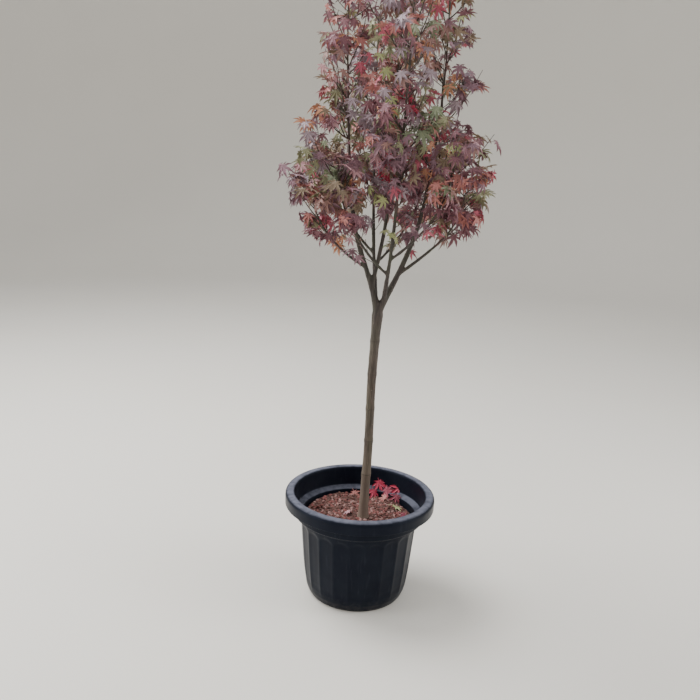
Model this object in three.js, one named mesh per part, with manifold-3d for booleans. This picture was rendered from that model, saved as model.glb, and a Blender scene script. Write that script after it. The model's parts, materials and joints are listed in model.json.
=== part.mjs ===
// A potted Japanese maple: one clear stem, a vase of upright boughs and a loose, open crown.
// Millimetres, +Z up. The origin is the centre of the pot's flat underside.
// +X is the viewer's right and +Y points away from the viewer.
import * as THREE from "three";
import { mergeVertices } from "three/addons/utils/BufferGeometryUtils.js";
import Module from "manifold-3d";

const wasm = await Module();
wasm.setup();

// Clearance between pieces that meet
const GAP = 0.3;

const POT = {
  height: 339,
  rim: 239,
  lipOuter: 227,
  lipInner: 209,
  skirtFoot: 300,
  collar: 208,
  collarFoot: 268,
  ledgeDrop: 9,
  bodyTop: 187,
  bodyLow: 169,
  lowAt: 48,
  foot: 149,
  floor: 10,
  wall: 5,
  flutes: 22,
  fluteDepth: 3.5,
};
const STEPS_PER_FLUTE = 3;

const SOIL = { level: 252, swell: 6, pad: 58, sides: 30 };

const TRUNK = {
  foot: new THREE.Vector3(14, 0, SOIL.level + GAP),
  length: 700,
  lean: [0, 1.2],
  swing: 1.2,
  radius: 15.4,
  waist: 13.6,
  flare: 4,
  flareHeight: 16,
  fork: 3,
  dome: 9,
  steps: 16,
  sides: 10,
};
// Heights up the trunk, as shares of its length, where old leaf joints swell the bark
const TRUNK_JOINTS = [0.21, 0.37, 0.52, 0.68, 0.83];
const JOINT_SWELL = 1.1;
const JOINT_WIDTH = 0.012;

// Each bough leaves its parent at a share of the parent's length. Headings turn from +X towards +Y and
// leans are from upright, in degrees. Pairs are the values at its foot and its tip.
const BOUGHS = [
  {
    name: "left", from: "trunk", at: 0.96, heading: 180,
    lean: [14, 6], bow: 10, length: 330, radius: [9.8, 5],
  },
  {
    name: "right", from: "trunk", at: 0.96, heading: 2,
    lean: [27, 9], bow: 3, length: 350, radius: [9.8, 5],
  },
  {
    name: "front", from: "right", at: 0.1, heading: -84,
    lean: [34, 16], bow: 4, length: 290, radius: [7.4, 4.6],
  },
  {
    name: "back", from: "left", at: 0.08, heading: 98,
    lean: [33, 15], bow: 4, length: 300, radius: [7.4, 4.6],
  },
  {
    name: "inner", from: "left", at: 0.24, heading: 12,
    lean: [12, 2], bow: 2, length: 260, radius: [6.8, 4.6],
  },
  {
    name: "low_right", from: "right", at: 0.36, heading: -8,
    lean: [52, 46], length: 140, radius: [5.4, 3.6],
  },
  {
    name: "low_left", from: "left", at: 0.42, heading: 188,
    lean: [62, 50], length: 90, radius: [4.8, 3.4],
  },
  {
    name: "front_left", from: "front", at: 0.36, heading: -142,
    lean: [56, 40], length: 150, radius: [4.8, 3.4],
  },
  {
    name: "front_right", from: "front", at: 0.55, heading: -34,
    lean: [56, 42], length: 130, radius: [4.8, 3.4],
  },
  {
    name: "back_right", from: "back", at: 0.42, heading: 38,
    lean: [56, 38], length: 150, radius: [4.8, 3.4],
  },
  {
    name: "back_left", from: "back", at: 0.55, heading: 146,
    lean: [56, 40], length: 140, radius: [4.8, 3.4],
  },
];
const BOUGH_STEPS = 5;
const BOUGH_SIDES = 6;

// Each mass grows on from the bough of the same name. Its stem ends at leanEnd, and its twigs and leaves
// stay within reach of the stem. Joints are the places up the stem where twigs stand.
const MASSES = [
  { name: "left", leanEnd: 1, length: 600, reach: 185, joints: 9, seed: 11 },
  { name: "right", leanEnd: -4, length: 620, reach: 185, joints: 9, seed: 23 },
  { name: "front", leanEnd: 4, length: 560, reach: 185, joints: 8, seed: 37 },
  { name: "back", leanEnd: 4, length: 590, reach: 185, joints: 8, seed: 41 },
  { name: "inner", leanEnd: -3, length: 800, reach: 165, joints: 11, seed: 59 },
  { name: "low_right", leanEnd: 0, length: 190, reach: 150, joints: 4, seed: 61 },
  { name: "low_left", leanEnd: 8, length: 200, reach: 150, joints: 4, seed: 73 },
  { name: "front_left", leanEnd: 4, length: 230, reach: 150, joints: 4, seed: 83 },
  { name: "front_right", leanEnd: 4, length: 220, reach: 150, joints: 4, seed: 97 },
  { name: "back_right", leanEnd: 6, length: 240, reach: 150, joints: 4, seed: 101 },
  { name: "back_left", leanEnd: 6, length: 230, reach: 150, joints: 4, seed: 113 },
];
const STEM = { tip: 2.4, straight: 5, steps: 6, sides: 5 };
const TWIG = { radius: 2.6, tip: 2.1, lean: 58, leanSpread: 34, headingSpread: 40, sides: 3 };
// A twig's length as a share of its stem's reach, from full at the stem's foot to topShare of that at its tip
const TWIG_LENGTH = { share: 0.62, least: 0.7, spread: 0.6, topShare: 0.6 };
// How far apart, in joints, the two twigs of a pair may stand
const STAGGER = 0.5;
const LEAF = {
  length: 90,
  least: 0.84,
  spread: 0.32,
  droop: 34,
  droopSpread: 44,
  splay: 70,
  splaySpread: 40,
  roll: 40,
};
const DRAWS = { twig: 4, leaf: 4 };
// Clear distance that tested places keep to any limb
const LIMB_CLEAR = 6;
// Share by which tested places lie nearer to their own stem than to any other
const SPACE_MARGIN = 0.03;
// The most volume a leaf's root shares with its own twig
const ROOT_VOLUME = 1;

const COLOURS = { pot: "#1c2027", soil: "#7a5a4c", trunk: "#6e625a", bough: "#4d4642", foliage: "#7c4247" };

const radians = THREE.MathUtils.degToRad;

// A linear congruential generator: the same seed always grows the same tree.
function seeded(seed) {
  let state = seed >>> 0;
  return () => {
    state = (Math.imul(state, 1664525) + 1013904223) >>> 0;
    return state / 4294967296;
  };
}

function direction(heading, lean) {
  const way = radians(heading);
  const tilt = radians(lean);
  return new THREE.Vector3(Math.sin(tilt) * Math.cos(way), Math.sin(tilt) * Math.sin(way), Math.cos(tilt));
}

// Points along a limb whose lean changes evenly, bowed out by bow degrees at its middle.
function limbPath({ start, heading, lean, bow = 0, swing = 0, length, steps }) {
  const points = [start.clone()];
  for (let i = 0; i < steps; i++) {
    const t = (i + 0.5) / steps;
    const bend = bow * Math.sin(Math.PI * t) + swing * Math.sin(3 * Math.PI * t);
    const tilt = lean[0] + (lean[1] - lean[0]) * t + bend;
    points.push(points[i].clone().addScaledVector(direction(heading, tilt), length / steps));
  }
  return points;
}

// The place and direction at a share of a path's length.
function alongPath(points, share) {
  const place = share * (points.length - 1);
  const i = Math.min(Math.floor(place), points.length - 2);
  const step = points[i + 1].clone().sub(points[i]);
  return { point: points[i].clone().addScaledVector(step, place - i), way: step.normalize() };
}

function solidFrom(positions, triangles) {
  const mesh = new wasm.Mesh({
    numProp: 3,
    vertProperties: new Float32Array(positions),
    triVerts: new Uint32Array(triangles),
  });
  return new wasm.Manifold(mesh);
}

function solidOf(geometry) {
  const bare = geometry.index ? geometry.toNonIndexed() : geometry.clone();
  bare.deleteAttribute("normal");
  bare.deleteAttribute("uv");
  const merged = mergeVertices(bare, 1e-3);
  return solidFrom(merged.attributes.position.array, merged.index.array);
}

function largestBody(solid) {
  return solid.decompose().reduce((a, b) => (b.volume() > a.volume() ? b : a));
}

function geometryOf(solid) {
  const { numProp, vertProperties, triVerts } = solid.getMesh();
  const positions = new Float32Array((vertProperties.length / numProp) * 3);
  for (let i = 0; i < positions.length / 3; i++) {
    positions.set(vertProperties.subarray(i * numProp, i * numProp + 3), i * 3);
  }
  const geometry = new THREE.BufferGeometry();
  geometry.setAttribute("position", new THREE.BufferAttribute(positions, 3));
  geometry.setIndex(new THREE.BufferAttribute(triVerts, 1));
  geometry.computeVertexNormals();
  return geometry;
}

// A closed round limb through the points, whose rings turn with the path without twisting.
function limbSolid(points, radiusAt, sides) {
  const last = points.length - 1;
  const positions = [];
  let across = null;
  points.forEach((point, i) => {
    const tangent = points[Math.min(i + 1, last)].clone().sub(points[Math.max(i - 1, 0)]).normalize();
    across = across ?? (Math.abs(tangent.x) < 0.9 ? new THREE.Vector3(1, 0, 0) : new THREE.Vector3(0, 1, 0));
    across = across.clone().addScaledVector(tangent, -across.dot(tangent)).normalize();
    const beside = tangent.clone().cross(across);
    const radius = radiusAt(i / last);
    for (let k = 0; k < sides; k++) {
      const turn = (2 * Math.PI * k) / sides;
      const place = point.clone();
      place.addScaledVector(across, radius * Math.cos(turn)).addScaledVector(beside, radius * Math.sin(turn));
      positions.push(place.x, place.y, place.z);
    }
  });
  const triangles = [];
  for (let i = 0; i < last; i++) {
    for (let k = 0; k < sides; k++) {
      const a = i * sides + k;
      const b = i * sides + ((k + 1) % sides);
      triangles.push(a, b, a + sides, b, b + sides, a + sides);
    }
  }
  for (let k = 1; k < sides - 1; k++) {
    triangles.push(0, k + 1, k);
    triangles.push(last * sides, last * sides + k, last * sides + k + 1);
  }
  return solidFrom(positions, triangles);
}

function taper([foot, tip]) {
  return (share) => foot + (tip - foot) * share;
}

// A limb grown by the gap all round and at its tip.
function swollen({ points, radiusAt, sides }) {
  const grown = GAP / Math.cos(Math.PI / sides);
  const end = alongPath(points, 1);
  const longer = [...points.slice(0, -1), end.point.addScaledVector(end.way, grown)];
  return limbSolid(longer, (share) => radiusAt(share) + grown, sides);
}

function potProfile() {
  const { height, rim, lipOuter, lipInner, skirtFoot, collar, collarFoot, ledgeDrop } = POT;
  const { bodyTop, bodyLow, lowAt, foot, floor, wall } = POT;
  const outer = [
    [0, 0],
    [foot, 0],
    [foot + 11, 20],
    [bodyLow, lowAt],
    [bodyTop, collarFoot - 14],
    [bodyTop + 4, collarFoot - 6],
    [collar, collarFoot],
    [collar, height - 12],
    [rim - wall, height - 14],
    [rim - wall, skirtFoot],
    [rim - 1, skirtFoot],
    [rim, height - 18],
    [lipOuter, height - 2],
  ];
  const inner = [
    [lipInner + 7, height],
    [lipInner, height - 6],
    [collar - wall, collarFoot + wall + 3],
    [bodyTop - wall, collarFoot + wall + 3 - ledgeDrop],
    [bodyLow - wall, lowAt],
    [foot - 2, floor],
    [0, floor],
  ];
  return [...outer, ...inner].map(([r, z]) => new THREE.Vector2(r, z));
}

// Profile points whose ring is pressed in between the ribs
const FLUTED_ROWS = [3, 4];

function makePot() {
  const profile = potProfile();
  const steps = POT.flutes * STEPS_PER_FLUTE;
  const lathe = new THREE.LatheGeometry(profile, steps);
  const places = lathe.attributes.position;
  for (let i = 0; i <= steps; i++) {
    if (i % STEPS_PER_FLUTE) continue;
    for (const row of FLUTED_ROWS) {
      const at = i * profile.length + row;
      const share = 1 - POT.fluteDepth / profile[row].x;
      places.setXYZ(at, places.getX(at) * share, places.getY(at), places.getZ(at) * share);
    }
  }
  return solidOf(lathe.rotateX(Math.PI / 2));
}

// The soil is a little heaped towards the back and the left, and flat under the trunk.
function soilHeight(x, y) {
  const heap = 0.6 * Math.sin(x / 41 + 1.1) * Math.cos(y / 53) + 0.4 * Math.cos(x / 29 - y / 37);
  const away = Math.hypot(x - TRUNK.foot.x, y - TRUNK.foot.y);
  const rise = THREE.MathUtils.smoothstep(away, SOIL.pad, 1.8 * SOIL.pad);
  return SOIL.level + rise * SOIL.swell * (heap + (y - x) / (2 * POT.bodyTop));
}

function makeSoil() {
  const { bodyTop, bodyLow, lowAt, foot, floor, wall } = POT;
  const top = bodyTop - wall - 5;
  const profile = [
    [0, floor + GAP],
    [foot - 4, floor + GAP],
    [bodyLow - wall - 4, lowAt],
    [top, SOIL.level - 6],
    [top * 0.97, SOIL.level],
    ...[0.78, 0.55, 0.3, 0].map((share) => [top * share, SOIL.level]),
  ].map(([r, z]) => new THREE.Vector2(r, z));
  const lathe = new THREE.LatheGeometry(profile, SOIL.sides).rotateX(Math.PI / 2);
  const places = lathe.attributes.position;
  for (let i = 0; i < places.count; i++) {
    if (places.getZ(i) > SOIL.level - 1) places.setZ(i, soilHeight(places.getX(i), places.getY(i)));
  }
  return solidOf(lathe);
}

function trunkRadius(share) {
  const up = share * TRUNK.length;
  const flare = TRUNK.flare * Math.exp(-up / TRUNK.flareHeight);
  const waist = (TRUNK.waist - TRUNK.radius) * Math.sin(Math.PI * share);
  const fork = TRUNK.fork * THREE.MathUtils.smoothstep(share, 0.86, 0.97);
  const dome = share > 0.99 ? TRUNK.dome : 0;
  const swell = (at) => JOINT_SWELL * Math.exp(-(((share - at) / JOINT_WIDTH) ** 2));
  const joints = TRUNK_JOINTS.reduce((sum, at) => sum + swell(at), 0);
  return TRUNK.radius + flare + waist + fork - dome + joints;
}

function trunkPath() {
  const { foot, length, lean, swing, steps } = TRUNK;
  return limbPath({ start: foot, heading: 0, lean, swing, length, steps });
}

// The trunk and boughs as named limbs, each with its path and its thickness.
function growLimbs() {
  const limbs = [{ name: "trunk", points: trunkPath(), radiusAt: trunkRadius, sides: TRUNK.sides }];
  for (const bough of BOUGHS) {
    const parent = limbs.find((limb) => limb.name === bough.from);
    const start = alongPath(parent.points, bough.at).point;
    limbs.push({
      name: bough.name,
      points: limbPath({ ...bough, start, steps: BOUGH_STEPS }),
      radiusAt: taper(bough.radius),
      sides: BOUGH_SIDES,
      bough,
    });
  }
  return limbs;
}

// Each limb's solid, with a bough's foot cut clear of the limbs made before it.
function limbSolids(limbs) {
  const made = [];
  const swells = [];
  for (const limb of limbs) {
    let solid = limbSolid(limb.points, limb.radiusAt, limb.sides);
    for (const swell of swells) solid = solid.subtract(swell);
    made.push(largestBody(solid));
    swells.push(swollen(limb));
  }
  return made;
}

// Distance from a place to the nearest point of a path, and that point's share of the path's length.
function nearest(place, points) {
  const best = { distance: Infinity, share: 0 };
  const line = new THREE.Line3();
  const foot = new THREE.Vector3();
  for (let i = 0; i < points.length - 1; i++) {
    line.set(points[i], points[i + 1]);
    const t = line.closestPointToPointParameter(place, true);
    const distance = line.at(t, foot).distanceTo(place);
    if (distance < best.distance) Object.assign(best, { distance, share: (i + t) / (points.length - 1) });
  }
  return best;
}

// Each mass's stem runs on from its bough's tip, straight on for its first few millimetres and then
// along the path that its twigs stand on.
function growStems(limbs) {
  return MASSES.map((mass) => {
    const limb = limbs.find(({ name }) => name === mass.name);
    const end = alongPath(limb.points, 1);
    const { heading, lean: boughLean, radius } = limb.bough;
    const foot = end.point.clone().addScaledVector(end.way, GAP);
    const start = foot.clone().addScaledVector(end.way, STEM.straight);
    const lean = [boughLean[1], mass.leanEnd];
    const path = limbPath({ start, heading, lean, length: mass.length, steps: STEM.steps });
    return { ...mass, heading, path, points: [foot, ...path], radiusAt: taper([radius[1], STEM.tip]) };
  });
}

// True where every place lies in the stem's own space and clear of every limb.
function fits(places, stem, stems, limbs) {
  return places.every((place) => {
    const own = nearest(place, stem.points).distance / stem.reach;
    if (own > 1) return false;
    const limit = own + SPACE_MARGIN;
    const others = stems.filter((other) => other !== stem);
    if (others.some(({ points, reach }) => nearest(place, points).distance / reach < limit)) return false;
    return limbs.every(({ points, radiusAt }) => {
      const { distance, share } = nearest(place, points);
      return distance > radiusAt(share) + LIMB_CLEAR;
    });
  });
}

// Lobes of a leaf: the angle from its middle, and the distance from where its veins meet to the lobe's tip.
// Distances on a leaf are shares of its length.
const LOBES = [
  { angle: -92, tip: 0.46 },
  { angle: -45, tip: 0.68 },
  { angle: 0, tip: 0.78 },
  { angle: 45, tip: 0.68 },
  { angle: 92, tip: 0.46 },
];
const LEAF_SHAPE = {
  veins: 0.24,
  neckAt: 0.19,
  neck: 0.025,
  thick: 0.032,
  notch: 0.36,
  tipSag: 0.13,
  notchSag: 0.03,
};

// The rim of a leaf of length 1, from its root at the origin round to its root: across, along and up.
function leafRim() {
  const { veins, neckAt, neck, notch, tipSag, notchSag } = LEAF_SHAPE;
  const polar = (angle, distance, sag) => {
    const turn = radians(angle);
    return [distance * Math.sin(turn), veins + distance * Math.cos(turn), -sag];
  };
  const rim = [
    [0, 0, 0],
    [-neck, neckAt, 0],
  ];
  LOBES.forEach(({ angle, tip }, i) => {
    rim.push(polar(angle, tip, tipSag));
    if (i < LOBES.length - 1) rim.push(polar((angle + LOBES[i + 1].angle) / 2, notch, notchSag));
  });
  rim.push([neck, neckAt, 0]);
  return rim;
}
const LEAF_RIM = leafRim();

// The frame of a leaf at a place: it heads out and hangs down by droop, turned by roll about its own length.
function leafFrame({ place, heading, droop, roll, length }) {
  const along = direction(heading, 90 + droop);
  const up = new THREE.Vector3(0, 0, 1).addScaledVector(along, -along.z).normalize();
  up.applyAxisAngle(along, radians(roll));
  const across = along.clone().cross(up);
  const size = new THREE.Vector3(length, length, length);
  return new THREE.Matrix4().makeBasis(across, along, up).scale(size).setPosition(place);
}

function leafPoints(frame) {
  const { veins, thick } = LEAF_SHAPE;
  const local = [...LEAF_RIM, [0, veins, thick / 2], [0, veins, -thick / 2]];
  return local.map((p) => new THREE.Vector3(...p).applyMatrix4(frame));
}

function leafSolid(points) {
  const rim = LEAF_RIM.length;
  const triangles = [];
  for (let i = 0; i < rim; i++) {
    const next = (i + 1) % rim;
    triangles.push(rim, next, i, rim + 1, i, next);
  }
  return solidFrom(points.flatMap(({ x, y, z }) => [x, y, z]), triangles);
}

// Places on a leaf where it is tested: its rim, the middle of each edge, and half way in from those
// to where the veins meet.
function leafProbes(points) {
  const middle = points[LEAF_RIM.length];
  const rim = points.slice(1, LEAF_RIM.length);
  const edges = rim.slice(1).map((p, i) => p.clone().lerp(rim[i], 0.5));
  return [middle, ...rim, ...edges, ...[...rim, ...edges].map((p) => p.clone().lerp(middle, 0.5))];
}

// A leaf at a share of a twig, turned off its line by splay degrees.
function drawLeaf(random, twig, share, side) {
  const { point } = alongPath(twig.path, share);
  return {
    place: point,
    heading: twig.heading + side * LEAF.splay + (random() - 0.5) * LEAF.splaySpread,
    droop: LEAF.droop + (random() - 0.5) * LEAF.droopSpread,
    roll: (random() - 0.5) * LEAF.roll,
    length: LEAF.length * (LEAF.least + random() * LEAF.spread),
  };
}

// Where leaves stand on a twig and at a stem's top: the share of its length and the side each one turns to.
const LEAF_STATIONS = [
  [0.94, 0],
  [0.5, 1],
  [0.5, -1],
];
const TOP_STATIONS = [
  [0.97, 1],
  [0.97, -1],
  [0.8, 2],
];

function drawTwig(random, stem, joint, side) {
  const share = (joint + 0.3 + random() * STAGGER) / stem.joints;
  const heading = stem.heading + 45 + joint * 90 + side + (random() - 0.5) * TWIG.headingSpread;
  const lean = TWIG.lean + (random() - 0.5) * TWIG.leanSpread;
  const narrow = 1 - (1 - TWIG_LENGTH.topShare) * share;
  const full = stem.reach * TWIG_LENGTH.share * narrow;
  const length = full * (TWIG_LENGTH.least + random() * TWIG_LENGTH.spread);
  const start = alongPath(stem.path, share).point;
  return { heading, path: limbPath({ start, heading, lean: [lean, lean], length, steps: 1 }) };
}

// Twigs stand in loose pairs up the stem, each pair a quarter turn from the one below.
// One that finds no room in a few draws is left out.
function growTwigs(stem, stems, limbs) {
  const random = seeded(stem.seed);
  const twigs = [];
  for (let joint = 0; joint < stem.joints; joint++) {
    for (const side of [0, 180]) {
      for (let i = 0; i < DRAWS.twig; i++) {
        const twig = drawTwig(random, stem, joint, side);
        const probes = [0.25, 0.5, 0.75, 1].map((share) => alongPath(twig.path, share).point);
        if (!fits(probes, stem, stems, limbs)) continue;
        twigs.push(twig);
        break;
      }
    }
  }
  return twigs;
}

// True where two solids share more than a leaf's root does with its twig.
function cross(a, b) {
  const first = a.boundingBox();
  const second = b.boundingBox();
  const apart = [0, 1, 2].some((k) => first.min[k] > second.max[k] || second.min[k] > first.max[k]);
  return !apart && a.intersect(b).volume() > ROOT_VOLUME;
}

// The stem with every leaf that finds room in a few draws and crosses no other piece, and with each twig
// that carries a leaf.
function growMass(stem, stems, limbs) {
  const random = seeded(stem.seed + 1);
  const main = { ...stem, solid: limbSolid(stem.points, stem.radiusAt, STEM.sides), leaves: 0 };
  const twigs = growTwigs(stem, stems, limbs).map((twig) => {
    const solid = limbSolid(twig.path, taper([TWIG.radius, TWIG.tip]), TWIG.sides);
    return { ...twig, solid, leaves: 0 };
  });
  const wood = [main, ...twigs];
  const leaves = [];
  const addLeaf = (way, at, turn) => {
    for (let i = 0; i < DRAWS.leaf; i++) {
      const points = leafPoints(leafFrame(drawLeaf(random, way, at, turn)));
      if (!fits(leafProbes(points), stem, stems, limbs)) continue;
      const leaf = leafSolid(points);
      if (leaves.some((other) => cross(other, leaf))) continue;
      if (wood.some(({ solid }) => cross(solid, leaf))) continue;
      leaves.push(leaf);
      way.leaves += 1;
      return;
    }
  };
  for (const [at, turn] of LEAF_STATIONS) twigs.forEach((twig) => addLeaf(twig, at, turn));
  TOP_STATIONS.forEach(([at, turn]) => addLeaf(main, at, turn));
  const kept = wood.filter((way) => way === main || way.leaves > 0);
  return largestBody(wasm.Manifold.union([...kept.map(({ solid }) => solid), ...leaves]));
}

function named(name, solid, colour, roughness) {
  const look = { color: colour, roughness, metalness: 0, flatShading: true };
  const material = new THREE.MeshStandardMaterial(look);
  const mesh = new THREE.Mesh(geometryOf(solid), material);
  mesh.name = name;
  return mesh;
}

const limbs = growLimbs();
const stems = growStems(limbs);
const tree = new THREE.Group();
tree.add(named("pot", makePot(), COLOURS.pot, 0.55), named("soil", makeSoil(), COLOURS.soil, 0.95));
limbSolids(limbs).forEach((solid, i) => {
  const { name } = limbs[i];
  if (i === 0) tree.add(named(name, solid, COLOURS.trunk, 0.85));
  else tree.add(named("bough_" + name, solid, COLOURS.bough, 0.8));
});
for (const stem of stems) {
  tree.add(named("foliage_" + stem.name, growMass(stem, stems, limbs), COLOURS.foliage, 0.7));
}

export default tree;
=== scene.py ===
"""A young Japanese maple in a ribbed nursery pot: one clear stem, a vase of boughs and autumn leaves.

The limbs and the masses of foliage grow by a seeded rule from the tables below, which are in millimetres.
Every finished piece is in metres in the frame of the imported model: +Z up, the origin under the pot's middle.
"""
import functools
import json
import math

import bmesh
import bpy
import numpy as np
from bpy.props import FloatProperty, FloatVectorProperty, IntProperty, PointerProperty
from mathutils import Matrix, Vector, noise

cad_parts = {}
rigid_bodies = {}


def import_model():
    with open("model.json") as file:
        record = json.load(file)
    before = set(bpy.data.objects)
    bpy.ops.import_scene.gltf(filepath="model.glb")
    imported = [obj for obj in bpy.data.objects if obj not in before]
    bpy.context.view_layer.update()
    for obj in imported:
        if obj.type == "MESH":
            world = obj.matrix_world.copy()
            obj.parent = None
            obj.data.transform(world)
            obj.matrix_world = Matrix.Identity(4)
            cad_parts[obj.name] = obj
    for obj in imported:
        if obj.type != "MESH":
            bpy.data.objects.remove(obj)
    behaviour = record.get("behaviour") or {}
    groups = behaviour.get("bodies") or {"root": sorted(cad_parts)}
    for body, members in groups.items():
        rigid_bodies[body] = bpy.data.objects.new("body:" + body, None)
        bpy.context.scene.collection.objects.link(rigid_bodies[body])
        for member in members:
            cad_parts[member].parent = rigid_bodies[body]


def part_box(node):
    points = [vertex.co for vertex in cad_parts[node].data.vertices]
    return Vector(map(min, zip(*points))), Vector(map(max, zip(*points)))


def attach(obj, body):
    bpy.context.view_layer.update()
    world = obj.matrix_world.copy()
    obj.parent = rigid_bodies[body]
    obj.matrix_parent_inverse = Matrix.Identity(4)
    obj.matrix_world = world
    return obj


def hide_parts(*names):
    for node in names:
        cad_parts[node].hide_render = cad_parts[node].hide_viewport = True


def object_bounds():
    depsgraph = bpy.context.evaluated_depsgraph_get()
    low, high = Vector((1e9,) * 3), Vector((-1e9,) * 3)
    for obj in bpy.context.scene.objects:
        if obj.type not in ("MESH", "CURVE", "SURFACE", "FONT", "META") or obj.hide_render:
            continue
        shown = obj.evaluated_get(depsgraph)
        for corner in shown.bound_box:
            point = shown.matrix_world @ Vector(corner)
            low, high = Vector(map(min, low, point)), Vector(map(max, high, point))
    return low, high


bl_info = {
    "name": "Japanese Maple in a Pot",
    "version": (1, 0, 0),
    "blender": (4, 5, 0),
    "location": "View3D > Sidebar > Maple",
    "description": "Builds a potted Japanese maple: pot, potting mix, bark, twigs and autumn leaves",
    "category": "Add Mesh",
}

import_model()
CAD_LOW, CAD_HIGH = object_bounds()

MM = 0.001

# Sizes of the solids, in millimetres and degrees
POT = {
    "height": 339, "rim": 239, "skirt_foot": 300, "lip_inner": 209, "collar": 208, "collar_foot": 268,
    "body_top": 187, "body_low": 169, "low_at": 48, "foot": 149, "floor": 10,
}
SOIL = {"level": 252, "swell": 6, "pad": 58, "heaped": 104.4, "tilt": 374}
TRUNK = {
    "foot": (14, 0, 252.3), "length": 700, "lean": (0, 1.2), "swing": 1.2, "steps": 16,
    "radius": 15.4, "waist": 13.6, "flare": 4, "flare_height": 16, "fork": 3, "dome": 9,
    "fork_at": (0.86, 0.97), "dome_at": (0.94, 1),
}
# Rings at the trunk's old leaf joints: where, as shares of its length, how far they swell and how wide
TRUNK_JOINTS = (0.21, 0.37, 0.52, 0.68, 0.83)
JOINT_SWELL = 1.1
JOINT_WIDTH = 0.012
BOUGH_STEPS = 5
# Name, parent, share of its length, heading, lean at foot and tip, bow, length, and radius at foot and tip
BOUGHS = [
    ("left", "trunk", 0.96, 180, (14, 6), 10, 330, (9.8, 5)),
    ("right", "trunk", 0.96, 2, (27, 9), 3, 350, (9.8, 5)),
    ("front", "right", 0.1, -84, (34, 16), 4, 290, (7.4, 4.6)),
    ("back", "left", 0.08, 98, (33, 15), 4, 300, (7.4, 4.6)),
    ("inner", "left", 0.24, 12, (12, 2), 2, 260, (6.8, 4.6)),
    ("low_right", "right", 0.36, -8, (52, 46), 0, 140, (5.4, 3.6)),
    ("low_left", "left", 0.42, 188, (62, 50), 0, 90, (4.8, 3.4)),
    ("front_left", "front", 0.36, -142, (56, 40), 0, 150, (4.8, 3.4)),
    ("front_right", "front", 0.55, -34, (56, 42), 0, 130, (4.8, 3.4)),
    ("back_right", "back", 0.42, 38, (56, 38), 0, 150, (4.8, 3.4)),
    ("back_left", "back", 0.55, 146, (56, 40), 0, 140, (4.8, 3.4)),
]
# Name, lean at the stem's end, its length, the reach of its twigs and leaves, its joints, and its seed
MASSES = [
    ("left", 1, 600, 185, 9, 11),
    ("right", -4, 620, 185, 9, 23),
    ("front", 4, 560, 185, 8, 37),
    ("back", 4, 590, 185, 8, 41),
    ("inner", -3, 800, 165, 11, 59),
    ("low_right", 0, 190, 150, 4, 61),
    ("low_left", 8, 200, 150, 4, 73),
    ("front_left", 4, 230, 150, 4, 83),
    ("front_right", 4, 220, 150, 4, 97),
    ("back_right", 6, 240, 150, 4, 101),
    ("back_left", 6, 230, 150, 4, 113),
]
STEM = {"straight": 5, "steps": 6}
TWIG = {
    "first": 0.3, "heading": 45, "turn": 90, "lean": 58, "lean_spread": 34, "heading_spread": 40, "draws": 4,
    "stagger": 0.5, "share": 0.62, "least": 0.7, "spread": 0.6, "top_share": 0.6, "steps": 5,
}
# Where up a twig it is seen to that it has room
TWIG_PROBES = (0.25, 0.5, 0.75, 1)
# The gap between a bough's tip and the stem that runs on from it
GAP = 0.3
# How far all that grows keeps clear of the limbs, and how much nearer it stays to its own stem than to the
# others, as a share of their reaches
LIMB_CLEAR = 6
SPACE_MARGIN = 0.03
# How far anything grown may pass the box of the solids
BOX_MARGIN = 4

# Where the photograph was taken from, in metres and degrees; the lens is for a sensor 36 mm wide
CAMERA = {"place": (-0.0542, -2.2954, 1.34), "pitch": 13.2325, "roll": 2.808, "lens": 39.57}

BARK_NODES = ["trunk"] + ["bough_" + bough[0] for bough in BOUGHS]
FOLIAGE_NODES = ["foliage_" + mass[0] for mass in MASSES]


# The growing rule, as the solids have it

def seeded(seed):
    """A linear congruential generator: the same seed always grows the same tree."""
    state = seed

    def draw():
        nonlocal state
        state = (state * 1664525 + 1013904223) % 4294967296
        return state / 4294967296

    return draw


def either_side(random, spread):
    """A drawn amount, up to half the spread to either side of nothing."""
    return (random() - 0.5) * spread


def at_least(random, low, more):
    """A drawn amount, from low up to more above it."""
    return low + random() * more


def direction(heading, lean):
    """The way from upright that leans towards a heading, both in degrees."""
    way, tilt = math.radians(heading), math.radians(lean)
    return np.array([math.sin(tilt) * math.cos(way), math.sin(tilt) * math.sin(way), math.cos(tilt)])


def limb_path(start, heading, lean, length, steps, bow=0, swing=0):
    """Points along a limb whose lean changes evenly, bowed out by bow degrees at its middle."""
    points = [np.array(start, float)]
    for i in range(steps):
        t = (i + 0.5) / steps
        bend = bow * math.sin(math.pi * t) + swing * math.sin(3 * math.pi * t)
        tilt = lean[0] + (lean[1] - lean[0]) * t + bend
        points.append(points[-1] + direction(heading, tilt) * length / steps)
    return np.array(points)


def along_path(points, share):
    """The place at a share of a path's length, and the path's direction there."""
    place = share * (len(points) - 1)
    i = min(int(place), len(points) - 2)
    step = points[i + 1] - points[i]
    return points[i] + step * (place - i), step / np.linalg.norm(step)


def path_length(points):
    return np.linalg.norm(np.diff(points, axis=0), axis=1).sum()


def nearest(places, points):
    """The distance from each place to a path, and the share of the path's length where it is nearest."""
    start, step = points[:-1], np.diff(points, axis=0)
    offset = places[:, None] - start
    t = np.clip(np.einsum("psk,sk->ps", offset, step) / (step * step).sum(1), 0, 1)
    distance = np.linalg.norm(offset - t[..., None] * step, axis=2)
    best = distance.argmin(1)
    rows = np.arange(len(places))
    return distance[rows, best], (best + t[rows, best]) / len(step)


def smoothstep(value, low, high):
    t = np.clip((value - low) / (high - low), 0, 1)
    return t * t * (3 - 2 * t)


def taper(foot, tip):
    return lambda share: foot + (tip - foot) * share


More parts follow.
